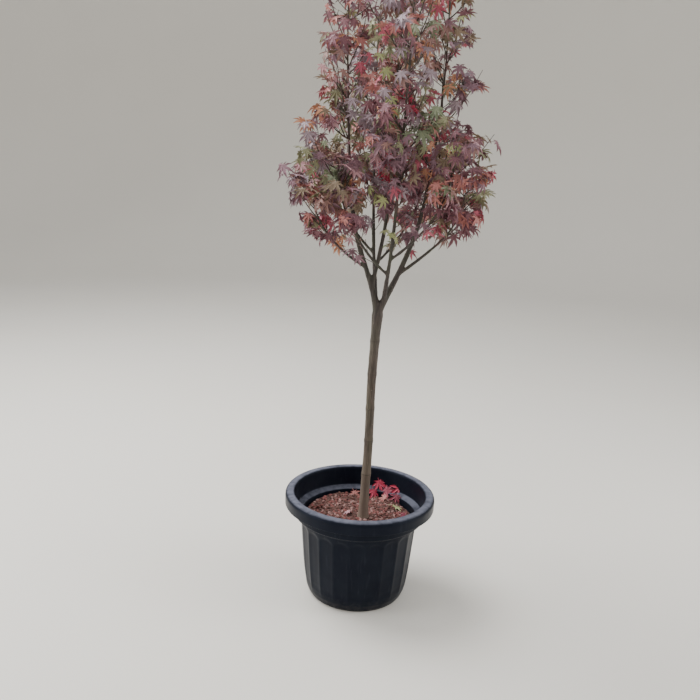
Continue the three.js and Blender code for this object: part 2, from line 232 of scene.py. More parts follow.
def trunk_radius(share):
    """The trunk's radius: its flare, its waist, its old leaf joints, its fork and its rounded top."""
    flare = TRUNK["flare"] * np.exp(-share * TRUNK["length"] / TRUNK["flare_height"])
    waist = (TRUNK["waist"] - TRUNK["radius"]) * np.sin(np.pi * share)
    fork = TRUNK["fork"] * smoothstep(share, *TRUNK["fork_at"])
    dome = TRUNK["dome"] * smoothstep(share, *TRUNK["dome_at"])
    joints = sum(JOINT_SWELL * np.exp(-(((share - at) / JOINT_WIDTH) ** 2)) for at in TRUNK_JOINTS)
    return TRUNK["radius"] + flare + waist + fork - dome + joints


def grow_limbs():
    """The trunk and the boughs by name, each with its path and its radius at a share of its length."""
    path = limb_path(TRUNK["foot"], 0, TRUNK["lean"], TRUNK["length"], TRUNK["steps"], swing=TRUNK["swing"])
    limbs = {"trunk": {"points": path, "radius": trunk_radius}}
    for name, parent, share, heading, lean, bow, length, radius in BOUGHS:
        start = along_path(limbs[parent]["points"], share)[0]
        points = limb_path(start, heading, lean, length, BOUGH_STEPS, bow)
        limbs[name] = {
            "points": points, "radius": taper(*radius), "tip": radius[1], "parent": parent,
            "heading": heading, "lean": lean,
        }
    return limbs


def grow_stems(limbs):
    """Each mass's stem, which runs on from its bough's tip."""
    stems = []
    for name, lean_end, length, reach, joints, seed in MASSES:
        limb = limbs[name]
        end, way = along_path(limb["points"], 1)
        foot = end + way * GAP
        start = foot + way * STEM["straight"]
        path = limb_path(start, limb["heading"], (limb["lean"][1], lean_end), length, STEM["steps"])
        stems.append({
            "name": name, "heading": limb["heading"], "path": path, "points": np.vstack([foot, path]),
            "reach": reach, "joints": joints, "seed": seed, "foot": limb["tip"],
        })
    return stems


LIMBS = grow_limbs()
STEMS = grow_stems(LIMBS)


def fits(places, stem, margin=SPACE_MARGIN, clear=LIMB_CLEAR):
    """True where every place lies in the stem's own space, in the solids' box and clear of every limb."""
    low, high = np.array(CAD_LOW) / MM - BOX_MARGIN, np.array(CAD_HIGH) / MM + BOX_MARGIN
    if (places < low).any() or (places > high).any():
        return False
    own = nearest(places, stem["points"])[0] / stem["reach"]
    if own.max() > 1:
        return False
    for other in STEMS:
        if other is stem:
            continue
        if (nearest(places, other["points"])[0] / other["reach"] < own + margin).any():
            return False
    for limb in LIMBS.values():
        distance, share = nearest(places, limb["points"])
        if (distance <= limb["radius"](share) + clear).any():
            return False
    return True


def draw_twig(random, stem, joint, side):
    """The next of the twig's draws: its way, its length and where it stands, as the solids have it."""
    share = (joint + TWIG["first"] + random() * TWIG["stagger"]) / stem["joints"]
    heading = stem["heading"] + TWIG["heading"] + joint * TWIG["turn"] + side
    heading += either_side(random, TWIG["heading_spread"])
    lean = TWIG["lean"] + either_side(random, TWIG["lean_spread"])
    narrow = 1 - (1 - TWIG["top_share"]) * share
    full = stem["reach"] * TWIG["share"] * narrow
    length = full * at_least(random, TWIG["least"], TWIG["spread"])
    start = along_path(stem["path"], share)[0]
    return {"heading": heading, "lean": lean, "length": length, "start": start, "share": share}


def grow_twigs(stem):
    """Twigs in loose pairs up the stem, each pair a quarter turn from the one below, where they find room."""
    random = seeded(stem["seed"])
    twigs = []
    for joint in range(stem["joints"]):
        for side in (0, 180):
            for _ in range(TWIG["draws"]):
                twig = draw_twig(random, stem, joint, side)
                line = limb_path(twig["start"], twig["heading"], (twig["lean"],) * 2, twig["length"], 1)
                probes = np.array([along_path(line, share)[0] for share in TWIG_PROBES])
                if fits(probes, stem):
                    twigs.append(twig)
                    break
    return twigs


# The crown, carried on from the twigs to finer shoots and single leaves

SHOOT = {
    "spacing": 23, "first": 0.35, "stagger": 0.4, "turn": 50, "turn_spread": 34, "lean_spread": 30,
    "rise": 20, "bend": 10, "share": 0.62, "narrow": 0.4, "least": 0.7, "spread": 0.6, "draws": 3,
    "steps": 3,
}
# Short spurs on the stems, between their twigs
SPUR = {"spacing": 40, "lean": 46, "length": 66, "chance": 0.85}
# Spurs on each mass's bough, over this length below its stem and at most over this share of it
LOW_SPUR = {"length": 190, "most": 0.7, "spacing": 19}
# Long shoots that rise nearly upright from each stem, between these shares of it
LEADER = {"spacing": 62, "from": 0.05, "to": 0.88, "lean": 30, "length": 205}
# Leaves stand in pairs, this far apart from a share of the shoot on, and each shoot ends in one
NODE = {"spacing": 20, "start": 0.46, "end": 0.12, "pair_chance": 0.85}
LEADER_NODE = {**NODE, "spacing": 27, "start": 0.25}
LEAF = {
    "splay": 62, "splay_spread": 54, "droop": 8, "droop_spread": 58, "roll": 64, "draws": 4,
    "least": 0.72, "spread": 0.5,
}
# The crown thins between these heights, down to this share of its leaves
THINNING = {"from": 1290, "to": 1560, "share": 0.4}
LEAF_LIMB_CLEAR = 3
# The tints of the leaves, and how many sprays in a hundred take each
TINTS = (
    ("plum", "#8a6a74", 14),
    ("mauve", "#96848b", 8),
    ("maroon", "#825961", 13),
    ("russet", "#96736c", 13),
    ("brick", "#b27670", 12),
    ("crimson", "#b76070", 7),
    ("ruby", "#a8334a", 1),
    ("orange", "#c08a6c", 5),
    ("rose", "#c0959a", 5),
    ("umber", "#8f7d68", 10),
    ("olive", "#8b8a6b", 8),
    ("sage", "#858d72", 2),
    ("lime", "#a8ac7a", 2),
)
# Added to each stem's seed, which has drawn its twigs
CROWN_SEED = 2
# How often a shoot takes its twig's tint
SAME_TINT = 0.35
# Thickness of the wood as a radius: a twig's foot grows with its length
STEM_TIP = 1.3
TWIG_FOOT, TWIG_GROWTH = 1.1, 95
SHOOT_FOOT = 1.15
SHOOT_TIP = 0.75
LEADER_FOOT = 2.1
# Each stem reaches this far down into its bough
STEM_ROOT = 8
# How far apart the points along stems, twigs and shoots are
STEM_STEP, TWIG_STEP, SHOOT_STEP = 4, 5, 6


def drawn_tint(random):
    """A tint's number, each as often as its share of the sprays."""
    left = random() * sum(share for _, _, share in TINTS)
    for number, (_, _, share) in enumerate(TINTS):
        left -= share
        if left < 0:
            return number
    return 0


def curved(start, heading, lean, length, steps):
    """A shoot that leaves its parent a little flatter than its lean and turns up towards its tip."""
    return limb_path(start, heading, (lean + SHOOT["bend"], lean - SHOOT["bend"]), length, steps)


def draw_shoot(random, start, heading, lean, length, stem):
    """The first of a few drawn shoots that finds room, or none."""
    for _ in range(SHOOT["draws"]):
        way = heading + either_side(random, SHOOT["turn_spread"])
        tilt = lean + either_side(random, SHOOT["lean_spread"])
        full = length * at_least(random, SHOOT["least"], SHOOT["spread"])
        points = curved(start, way, tilt, full, SHOOT["steps"])
        if fits(points[1:], stem):
            return {"heading": way, "points": points}
    return None


def grow_shoots(twig, stem, random):
    """Finer shoots in pairs along a twig."""
    count = max(1, round(twig["length"] / SHOOT["spacing"]))
    shoots = []
    for joint in range(count):
        for side in (1, -1):
            share = (joint + SHOOT["first"] + SHOOT["stagger"] * random()) / count
            start = along_path(twig["points"], share)[0]
            length = twig["length"] * SHOOT["share"] * (1 - SHOOT["narrow"] * share)
            heading = twig["heading"] + side * SHOOT["turn"]
            shoots.append(draw_shoot(random, start, heading, twig["lean"] - SHOOT["rise"], length, stem))
    return [shoot for shoot in shoots if shoot]


def grow_spurs(stem, random):
    """Short shoots straight from a stem and from the end of its bough, each a drawn way round it."""
    count = round(path_length(stem["path"]) / SPUR["spacing"])
    starts = [along_path(stem["path"], (joint + random()) / count)[0] for joint in range(count)]
    bough = LIMBS[stem["name"]]["points"]
    length = path_length(bough)
    below = min(LOW_SPUR["length"], LOW_SPUR["most"] * length)
    for joint in range(round(below / LOW_SPUR["spacing"])):
        starts.append(along_path(bough, 1 - (joint + random()) * LOW_SPUR["spacing"] / length)[0])
    spurs = []
    for start in starts:
        heading = random() * 360
        if random() < SPUR["chance"]:
            spurs.append(draw_shoot(random, start, heading, SPUR["lean"], SPUR["length"], stem))
    return [spur for spur in spurs if spur]


def grow_leaders(stem, random):
    """The long upright shoots of a stem."""
    count = round(path_length(stem["path"]) / LEADER["spacing"])
    leaders = []
    for joint in range(count):
        share = LEADER["from"] + (LEADER["to"] - LEADER["from"]) * (joint + random()) / count
        start, heading = along_path(stem["path"], share)[0], random() * 360
        leaders.append(draw_shoot(random, start, heading, LEADER["lean"], LEADER["length"], stem))
    return [leader for leader in leaders if leader]


def leaf_turn(heading, droop, roll):
    """How a leaf is turned: x across, y along its petiole, z up, rolled about its length."""
    along = Vector(direction(heading, 90 + droop))
    up = (Vector((0, 0, 1)) - along * along.z).normalized()
    up.rotate(Matrix.Rotation(math.radians(roll), 3, along))
    return Matrix((along.cross(up), along, up)).transposed()


def add_leaves(leaves, shoot, stem, tint, leaf_length, random, node=NODE):
    """Hangs leaves in pairs along a shoot and one at its tip, where they find room. True if any did."""
    before = len(leaves)
    leafy = 1 - node["start"]
    nodes = max(1, round(path_length(shoot["points"]) * leafy / node["spacing"]))
    stations = [(1, 0)]
    for number in range(nodes):
        share = 1 - (number + node["end"]) / nodes * leafy
        turn = 0.5 * (number % 2)
        stations += [(share, side + turn) for side in (1, -1) if random() < node["pair_chance"]]
    for share, side in stations:
        place = along_path(shoot["points"], share)[0]
        thin = smoothstep(place[2], THINNING["from"], THINNING["to"]) * (1 - THINNING["share"])
        if random() < thin:
            continue
        for _ in range(LEAF["draws"]):
            heading = shoot["heading"] + side * LEAF["splay"] + either_side(random, LEAF["splay_spread"])
            droop = LEAF["droop"] + either_side(random, LEAF["droop_spread"])
            roll = either_side(random, LEAF["roll"])
            size = at_least(random, LEAF["least"], LEAF["spread"])
            shape = int(random() * len(HANGS))
            turn = leaf_turn(heading, droop, roll)
            probes = place + LEAF_SHAPES[shape][2] @ np.array(turn).T * size * leaf_length
            if fits(probes, stem, 0, LEAF_LIMB_CLEAR):
                turn = tuple(turn.to_euler())
                leaves.append({"place": place, "turn": turn, "size": size, "shape": shape, "tint": tint})
                break
    return len(leaves) > before


@functools.cache
def grow_crown(leaf_length):
    """Every stem, twig and shoot as a path with its thickness, and every leaf with its place and tint."""
    wood, leaves = [], []

    def add_shoot(shoot, tint, foot=SHOOT_FOOT, node=NODE):
        if add_leaves(leaves, shoot, stem, tint, leaf_length, random, node):
            wood.append((smooth_path(shoot["points"], SHOOT_STEP)[0], foot, SHOOT_TIP, ()))

    for stem in STEMS:
        random = seeded(stem["seed"] + CROWN_SEED)
        twigs = grow_twigs(stem)
        root = stem["points"][0] - along_path(stem["points"], 0)[1] * STEM_ROOT
        points = np.vstack([root, smooth_path(stem["path"], STEM_STEP)[0]])
        wood.append((points, stem["foot"], STEM_TIP, [twig["share"] for twig in twigs]))
        for twig in twigs:
            twig["points"] = curved(
                twig["start"], twig["heading"], twig["lean"], twig["length"], TWIG["steps"],
            )
            foot = TWIG_FOOT + twig["length"] / TWIG_GROWTH
            wood.append((smooth_path(twig["points"], TWIG_STEP)[0], foot, SHOOT_FOOT, ()))
            mood = drawn_tint(random)
            for shoot in grow_shoots(twig, stem, random):
                add_shoot(shoot, mood if random() < SAME_TINT else drawn_tint(random))
            add_leaves(leaves, twig, stem, mood, leaf_length, random)
        for spur in grow_spurs(stem, random):
            add_shoot(spur, drawn_tint(random))
        for leader in grow_leaders(stem, random):
            add_shoot(leader, drawn_tint(random), LEADER_FOOT, LEADER_NODE)
        top = {"heading": stem["heading"], "points": stem["path"][-2:]}
        add_leaves(leaves, top, stem, drawn_tint(random), leaf_length, random)
    return wood, leaves


# Meshes

def smooth_path(points, spacing):
    """The path bent smoothly through its points, with a point about every spacing, and each point's share."""
    ends = np.vstack([2 * points[0] - points[1], points, 2 * points[-1] - points[-2]])
    out, shares = [], []
    spans = len(points) - 1
    for i in range(spans):
        before, a, b, after = ends[i:i + 4]
        cuts = max(1, round(np.linalg.norm(b - a) / spacing))
        for t in np.arange(cuts) / cuts:
            line = 2 * a + (b - before) * t
            bend = (2 * before - 5 * a + 4 * b - after) * t * t + (3 * a - before - 3 * b + after) * t ** 3
            out.append((line + bend) / 2)
            shares.append((i + t) / spans)
    return np.array(out + [points[-1]]), np.array(shares + [1.0])


def link(piece):
    bpy.context.scene.collection.objects.link(piece)
    return piece


def new_object(name, vertices, faces, edges=()):
    """An object at the origin from vertices in millimetres."""
    mesh = bpy.data.meshes.new(name)
    mesh.from_pydata((np.asarray(vertices, float) * MM).tolist(), list(edges), list(faces))
    mesh.update()
    return link(bpy.data.objects.new(name, mesh))


def tube(points, radii, sides):
    """Vertices and faces of a closed tube through the points, one row of radii for each point's ring."""
    rings, across = [], np.array([1.0, 0, 0])
    last = len(points) - 1
    turns = 2 * np.pi * np.arange(sides) / sides
    for i, point in enumerate(points):
        along = points[min(i + 1, last)] - points[max(i - 1, 0)]
        along = along / np.linalg.norm(along)
        across = across - along * (across @ along)
        across = across / np.linalg.norm(across)
        beside = np.cross(along, across)
        ring = np.outer(np.cos(turns), across) + np.outer(np.sin(turns), beside)
        rings.append(point + ring * np.reshape(radii[i], (-1, 1)))
    faces = [tuple(range(sides))[::-1], tuple(last * sides + k for k in range(sides))]
    for i in range(last):
        for k in range(sides):
            a, b = i * sides + k, i * sides + (k + 1) % sides
            faces.append((a, b, b + sides, a + sides))
    return np.vstack(rings), faces


# A fillet takes up less than half of the span to either side
FILLET_MOST = 0.48


def rounded(corners, cuts=5):
    """The profile whose corners, as (radius, height, fillet) in millimetres, are rounded to their fillets."""
    places = np.array([(r, z) for r, z, _ in corners], float)
    out = [places[0]]
    for i in range(1, len(corners) - 1):
        here, fillet = places[i], corners[i][2]
        back, ahead = places[i - 1] - here, places[i + 1] - here
        long_back, long_ahead = np.linalg.norm(back), np.linalg.norm(ahead)
        half = math.acos(np.clip(back @ ahead / long_back / long_ahead, -1, 1)) / 2
        cut = min(fillet / math.tan(half), FILLET_MOST * long_back, FILLET_MOST * long_ahead)
        a, b = here + back / long_back * cut, here + ahead / long_ahead * cut
        for t in np.arange(cuts + 1) / cuts:
            out.append((1 - t) ** 2 * a + 2 * t * (1 - t) * here + t * t * b)
    return np.array(out + [places[-1]])


def divided(profile, spacing):
    """The profile with long spans cut to about the spacing."""
    out = []
    for a, b in zip(profile[:-1], profile[1:]):
        cuts = max(1, math.ceil(np.linalg.norm(b - a) / spacing))
        out += [a + (b - a) * i / cuts for i in range(cuts)]
    return np.array(out + [profile[-1]])


def revolved(name, profile, steps, shape):
    """A closed solid turned from a profile that starts and ends on the axis. Shape bends its rings."""
    turns = 2 * np.pi * np.arange(steps) / steps
    r, z = (np.repeat(profile[1:-1, k, None], steps, axis=1) for k in (0, 1))
    x, y, z = shape(r, z, turns)
    rings = np.stack([x, y, z], axis=2).reshape(-1, 3)
    count = len(rings)
    vertices = np.vstack([rings, (0, 0, profile[0, 1]), (0, 0, profile[-1, 1])])
    faces = []
    for k in range(steps):
        after = (k + 1) % steps
        faces.append((count, after, k))
        faces.append((count + 1, count - steps + k, count - steps + after))
        for i in range(len(profile) - 3):
            a, b = i * steps + k, i * steps + after
            faces.append((a, b, b + steps, a + steps))
    return new_object(name, vertices, faces)


def shade(piece):
    piece.data.polygons.foreach_set("use_smooth", [True] * len(piece.data.polygons))
    piece.data.update()


def place_piece(piece, nodes, material=None):
    """Makes a finished piece ride on the plant's one body in place of the solids that it stands for.

    Pieces that a tree has made bring their own material.
    """
    if material:
        shade(piece)
        piece.data.materials.clear()
        piece.data.materials.append(material)
    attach(piece, "root")
    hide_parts(*nodes)
    return piece


def plain_mesh(name, source):
    """A plain mesh object of what the source's modifiers make of it. The source is removed."""
    bpy.context.view_layer.update()
    evaluated = source.evaluated_get(bpy.context.evaluated_depsgraph_get())
    mesh = bpy.data.meshes.new_from_object(evaluated)
    mesh.name = name
    bpy.data.objects.remove(source)
    return link(bpy.data.objects.new(name, mesh))


def read_values(items, field, width, kind=float):
    """A field of each of the mesh's items, as rows of numbers."""
    values = np.zeros(len(items) * width, kind)
    items.foreach_get(field, values)
    return values.reshape(-1, width)


def add_values(mesh, name, kind, values):
    """A named value on each of the mesh's points, for the node trees to read."""
    attribute = mesh.attributes.new(name, kind, "POINT")
    field = "vector" if kind == "FLOAT_VECTOR" else "value"
    attribute.data.foreach_set(field, np.asarray(values).ravel())


# One maple leaf of length 1: a petiole, and a blade of seven lobes that hangs from the petiole's end

LOBES = ((0, 0.62), (38, 0.57), (77, 0.44), (119, 0.26), (-119, 0.26), (-77, 0.44), (-38, 0.57))
BLADE = {
    "start": 0.38, "notch": 0.378, "notch_dip": 0.6, "base_notch": 0.07, "base_angle": 168,
    "shoulder": 0.58, "wide": 0.125, "near": 0.83, "narrow": 0.056, "middle": 0.56, "high": 0.82,
    "groove": 0.02, "groove_start": 0.1, "reach": 0.62,
}
# How each lobe's angle in degrees, its length and its curl are drawn to differ
LOBE_DRAWS = {"angle": 9, "length": (0.94, 0.12), "curl": (0.6, 0.8)}
LEAF_SEED = 900
PETIOLE = {"radius": 0.011, "arch": 0.03, "sides": 3, "steps": 3}
# How far each shape of leaf hangs below its petiole in degrees, and how much its lobes curl and fold
HANGS = ((8, 0.06, 0.25), (26, 0.12, 0.4), (44, 0.18, 0.3), (62, 0.14, 0.55), (78, 0.24, 0.45))


def leaf_shape(number):
    """Vertices and faces of one of the leaf's shapes, and the places on it that have to find room."""
    hang, curl, fold = HANGS[number]
    random = seeded(LEAF_SEED + number)
    order = sorted(LOBES)
    points, faces, tips = [(0, 0, 0)], [], []

    def add(angle, distance, beside=0, dip=1):
        turn = math.radians(angle)
        groove = BLADE["groove"] if beside == 0 and distance > BLADE["groove_start"] else 0
        sag = fold * abs(beside) - curl * dip * (distance / BLADE["reach"]) ** 2 - groove
        x = distance * math.sin(turn) + beside * math.cos(turn)
        y = distance * math.cos(turn) - beside * math.sin(turn)
        points.append((x, y, sag))
        return len(points) - 1

    notches = [add(-BLADE["base_angle"], BLADE["base_notch"])]
    for (angle, length), (after, other) in zip(order[:-1], order[1:]):
        notches.append(add((angle + after) / 2, BLADE["notch"] * min(length, other), 0, BLADE["notch_dip"]))
    notches.append(add(BLADE["base_angle"], BLADE["base_notch"]))
    for i, (angle, length) in enumerate(order):
        angle += either_side(random, LOBE_DRAWS["angle"])
        length *= at_least(random, *LOBE_DRAWS["length"])
        dip = at_least(random, *LOBE_DRAWS["curl"])
        ridge = (BLADE["middle"], BLADE["high"], 1)
        middle, high, tip = (add(angle, share * length, 0, dip) for share in ridge)
        tips.append(tip)
        for side, notch in ((-1, notches[i]), (1, notches[i + 1])):
            shoulder = add(angle, BLADE["shoulder"] * length, side * BLADE["wide"] * length, dip)
            near = add(angle, BLADE["near"] * length, side * BLADE["narrow"] * length, dip)
            for face in ((0, notch, shoulder, middle), (middle, shoulder, near, high), (high, near, tip)):
                faces.append(face if side < 0 else face[::-1])
    turn = Matrix.Rotation(-math.radians(hang), 3, "X")
    blade = np.array([turn @ Vector(p) for p in points]) + (0, BLADE["start"], 0)
    t = np.arange(PETIOLE["steps"] + 1) / PETIOLE["steps"]
    line = np.stack([0 * t, BLADE["start"] * t, PETIOLE["arch"] * np.sin(np.pi * t)], axis=1)
    stalk, stalk_faces = tube(line, [PETIOLE["radius"]] * len(line), PETIOLE["sides"])
    faces += [tuple(k + len(blade) for k in face) for face in stalk_faces]
    probes = np.array([blade[0], *(blade[tip] for tip in tips[1:-1])])
    return np.vstack([blade, stalk]), faces, probes


LEAF_SHAPES = [leaf_shape(number) for number in range(len(HANGS))]


# Node trees

def add_node(tree, kind, inputs=(), output=None, feeds=None, **settings):
    """Adds a node with its settings, and links or fills its inputs.

    Gives its first output, or the one that output names, and links it to the input that feeds names, if any.
    """
    made = tree.nodes.new(kind)
    for name, value in settings.items():
        setattr(made, name, value)
    for key, value in dict(inputs).items():
        socket = next(s for s in made.inputs if key in (s.identifier, s.name))
        if isinstance(value, bpy.types.NodeSocket):
            tree.links.new(value, socket)
        else:
            socket.default_value = value
    result = next((s for s in made.outputs if output in (None, s.identifier, s.name)), None)
    if feeds is not None:
        tree.links.new(result, feeds)
    return result


def start_tree(name, *sockets):
    """A Geometry Nodes tree with named inputs, and its inputs."""
    tree = bpy.data.node_groups.new(name, "GeometryNodeTree")
    for title, kind in (("Geometry", "Geometry"), *sockets):
        tree.interface.new_socket(title, in_out="INPUT", socket_type="NodeSocket" + kind)
    tree.interface.new_socket("Geometry", in_out="OUTPUT", socket_type="NodeSocketGeometry")
    return tree, tree.nodes.new("NodeGroupInput").outputs


def end_tree(tree, geometry, material, smooth=False):
    """Makes the instances real, shades them and gives them their material."""
    real = add_node(tree, "GeometryNodeRealizeInstances", {"Geometry": geometry})
    shaded = add_node(tree, "GeometryNodeSetShadeSmooth", {"Geometry": real, "Shade Smooth": smooth})
    painted = add_node(tree, "GeometryNodeSetMaterial", {"Geometry": shaded, "Material": material})
    add_node(tree, "NodeGroupOutput", {"Geometry": painted})
    return tree


def set_shapes(tree, given, points, shapes, turn, scale, which=None):
    """Sets a collection's shapes on the points, turned and scaled, and ends the tree with them.

    Which is the number of each point's shape. Without it the point's own number picks one.
    """
    shapes = {"Collection": given[shapes], "Separate Children": True, "Reset Children": True}
    placed = {
        "Points": points, "Instance": add_node(tree, "GeometryNodeCollectionInfo", shapes), "Scale": scale,
        "Rotation": add_node(tree, "FunctionNodeEulerToRotation", {"Euler": turn}), "Pick Instance": True,
    }
    if which is not None:
        placed["Instance Index"] = which
    placed = add_node(tree, "GeometryNodeInstanceOnPoints", placed)
    return end_tree(tree, placed, given["Material"])


def shoot_tree():
    """Turns lines of points into closed round shoots, as thick as each point says."""
    sockets = ("Sides", "Int"), ("Thickness", "Float"), ("Material", "Material")
    tree, given = start_tree("Maple shoots", *sockets)
    lines = add_node(tree, "GeometryNodeMeshToCurve", {"Mesh": given["Geometry"]})
    size = {"Resolution": given["Sides"], "Radius": given["Thickness"]}
    ring = add_node(tree, "GeometryNodeCurvePrimitiveCircle", size)
    thick = add_node(tree, "GeometryNodeInputNamedAttribute", {"Name": "thickness"})
    parts = {"Curve": lines, "Profile Curve": ring, "Scale": thick, "Fill Caps": True}
    return end_tree(tree, add_node(tree, "GeometryNodeCurveToMesh", parts), given["Material"], True)


# What each leaf's point holds for the tree to read
LEAF_VALUES = (("turn", "FLOAT_VECTOR"), ("size", "FLOAT"), ("shape", "INT"))


def leaf_tree():
    """Sets a leaf on every point, shaped, turned and sized as the point says, with a seeded spread."""
    tree, given = start_tree(
        "Maple leaves", ("Leaf Shapes", "Collection"), ("Leaf Length", "Float"), ("Length Spread", "Float"),
        ("Seed", "Int"), ("Material", "Material"),
    )
    turn, length, shape = (
        add_node(tree, "GeometryNodeInputNamedAttribute", {"Name": name}, data_type=kind)
        for name, kind in LEAF_VALUES
    )
    least = {"Value": 1.0, "Value_001": given["Length Spread"]}
    least = add_node(tree, "ShaderNodeMath", least, operation="SUBTRACT")
    spread = {"Min_001": least, "Max_001": 1.0, "Seed": given["Seed"]}
    spread = add_node(tree, "FunctionNodeRandomValue", spread, "Value_001")
    for times in (given["Leaf Length"], spread):
        length = add_node(tree, "ShaderNodeMath", {"Value": length, "Value_001": times}, operation="MULTIPLY")
    return set_shapes(tree, given, given["Geometry"], "Leaf Shapes", turn, length, shape)


# The mix's faces that point up at least so far take chips
CHIP_UPRIGHT = 0.6
# The least and most of a chip's turn, in radians about x, y and z, and of its length
CHIP_TURN = (-0.7, -0.7, 0), (0.7, 0.7, 6.283)
CHIP_SIZE = 0.45, 1.0


def chip_tree():
    """Strews chips over the upward faces of the potting mix, clear of the trunk and of the pot's wall."""
    tree, given = start_tree(
        "Bark chips", ("Chips", "Collection"), ("Chip Length", "Float"), ("Chips per Area", "Float"),
        ("Spacing", "Float"), ("Mix Radius", "Float"), ("Trunk Foot", "Vector"), ("Trunk Radius", "Float"),
        ("Seed", "Int"), ("Material", "Material"),
    )
    flat = {"Vector": add_node(tree, "GeometryNodeInputPosition"), "Vector_001": (1, 1, 0)}
    flat = add_node(tree, "ShaderNodeVectorMath", flat, operation="MULTIPLY")
    out = add_node(tree, "ShaderNodeVectorMath", {"Vector": flat}, "Value", operation="LENGTH")
    away = {"Vector": flat, "Vector_001": given["Trunk Foot"]}
    away = add_node(tree, "ShaderNodeVectorMath", away, "Value", operation="DISTANCE")
    normal = add_node(tree, "GeometryNodeInputNormal")
    upward = add_node(tree, "ShaderNodeSeparateXYZ", {"Vector": normal}, "Z")
    room = True
    for more, less in ((given["Mix Radius"], out), (away, given["Trunk Radius"]), (upward, CHIP_UPRIGHT)):
        over = add_node(tree, "FunctionNodeCompare", {"A": more, "B": less})
        room = add_node(tree, "FunctionNodeBooleanMath", {"Boolean": over, "Boolean_001": room})
    points = add_node(tree, "GeometryNodeDistributePointsOnFaces", {
        "Mesh": given["Geometry"], "Distance Min": given["Spacing"], "Density Max": given["Chips per Area"],
        "Selection": room, "Seed": given["Seed"],
    }, distribute_method="POISSON")
    turn = {"Min": CHIP_TURN[0], "Max": CHIP_TURN[1], "Seed": given["Seed"]}
    turn = add_node(tree, "FunctionNodeRandomValue", turn, data_type="FLOAT_VECTOR")
    size = {"Min_001": CHIP_SIZE[0], "Max_001": CHIP_SIZE[1], "Seed": given["Seed"]}
    size = add_node(tree, "FunctionNodeRandomValue", size, "Value_001")
    size = {"Value": size, "Value_001": given["Chip Length"]}
    size = add_node(tree, "ShaderNodeMath", size, operation="MULTIPLY")
    return set_shapes(tree, given, points, "Chips", turn, size)


def grow(name, source, tree, values):
    """A plain mesh of what the tree makes of the source. Inputs are set by their sockets' identifiers."""
    modifier = source.modifiers.new(tree.name, "NODES")
    modifier.node_group = tree
    for item in tree.interface.items_tree:
        if item.in_out == "INPUT" and item.name in values:
            modifier[item.identifier] = values[item.name]
    return plain_mesh(name, source)


def shape_collection(name, shapes):
    """A collection of shapes in units, outside the scene, for a tree to take its instances from."""
    collection = bpy.data.collections.new(name)
    for number, (vertices, faces, *_) in enumerate(shapes):
        mesh = bpy.data.meshes.new(f"{name} {number}")
        mesh.from_pydata(np.asarray(vertices, float).tolist(), [], faces)
        collection.objects.link(bpy.data.objects.new(mesh.name, mesh))
    return collection


def remove_collection(collection):
    for piece in list(collection.objects):
        bpy.data.objects.remove(piece)
    bpy.data.collections.remove(collection)


# Finishes

def linear(hex_colour):
    """A linear RGBA colour from an sRGB hex value."""
    values = [int(hex_colour[i:i + 2], 16) / 255 for i in (1, 3, 5)]
    return (*(v / 12.92 if v <= 0.04045 else ((v + 0.055) / 1.055) ** 2.4 for v in values), 1.0)


def start_finish(name, roughness, ior):
    """A material with its node tree and its shader's inputs."""
    material = bpy.data.materials.new(name)
    material.use_nodes = True
    shader = material.node_tree.nodes["Principled BSDF"].inputs
    shader["Roughness"].default_value = roughness
    shader["IOR"].default_value = ior
    return material, material.node_tree, shader


def marks(tree, size, stretch=(1, 1, 1), detail=3.0):
    """Noise on the piece's own coordinates, with marks about size millimetres across before the stretch."""
    place = add_node(tree, "ShaderNodeTexCoord", output="Object")
    scaled = add_node(tree, "ShaderNodeMapping", {"Vector": place, "Scale": tuple(1 / s for s in stretch)})
    noise_inputs = {"Vector": scaled, "Scale": 1 / (size * MM), "Detail": detail}
    return add_node(tree, "ShaderNodeTexNoise", noise_inputs)


def overlay(tree, under, over, mark, low, high, most=1.0, feeds=None):
    """The colour over laid on the colour under, where the mark goes from low to high, at most so strongly."""
    share = {"Value": mark, "From Min": low, "From Max": high, "To Max": most}
    share = add_node(tree, "ShaderNodeMapRange", share)
    colours = {"Factor": share, "A_Color": under, "B_Color": over}
    return add_node(tree, "ShaderNodeMix", colours, "Result_Color", feeds, data_type="RGBA")


def height_above_ground(tree):
    place = add_node(tree, "ShaderNodeTexCoord", output="Object")
    return add_node(tree, "ShaderNodeSeparateXYZ", {"Vector": place}, "Z")


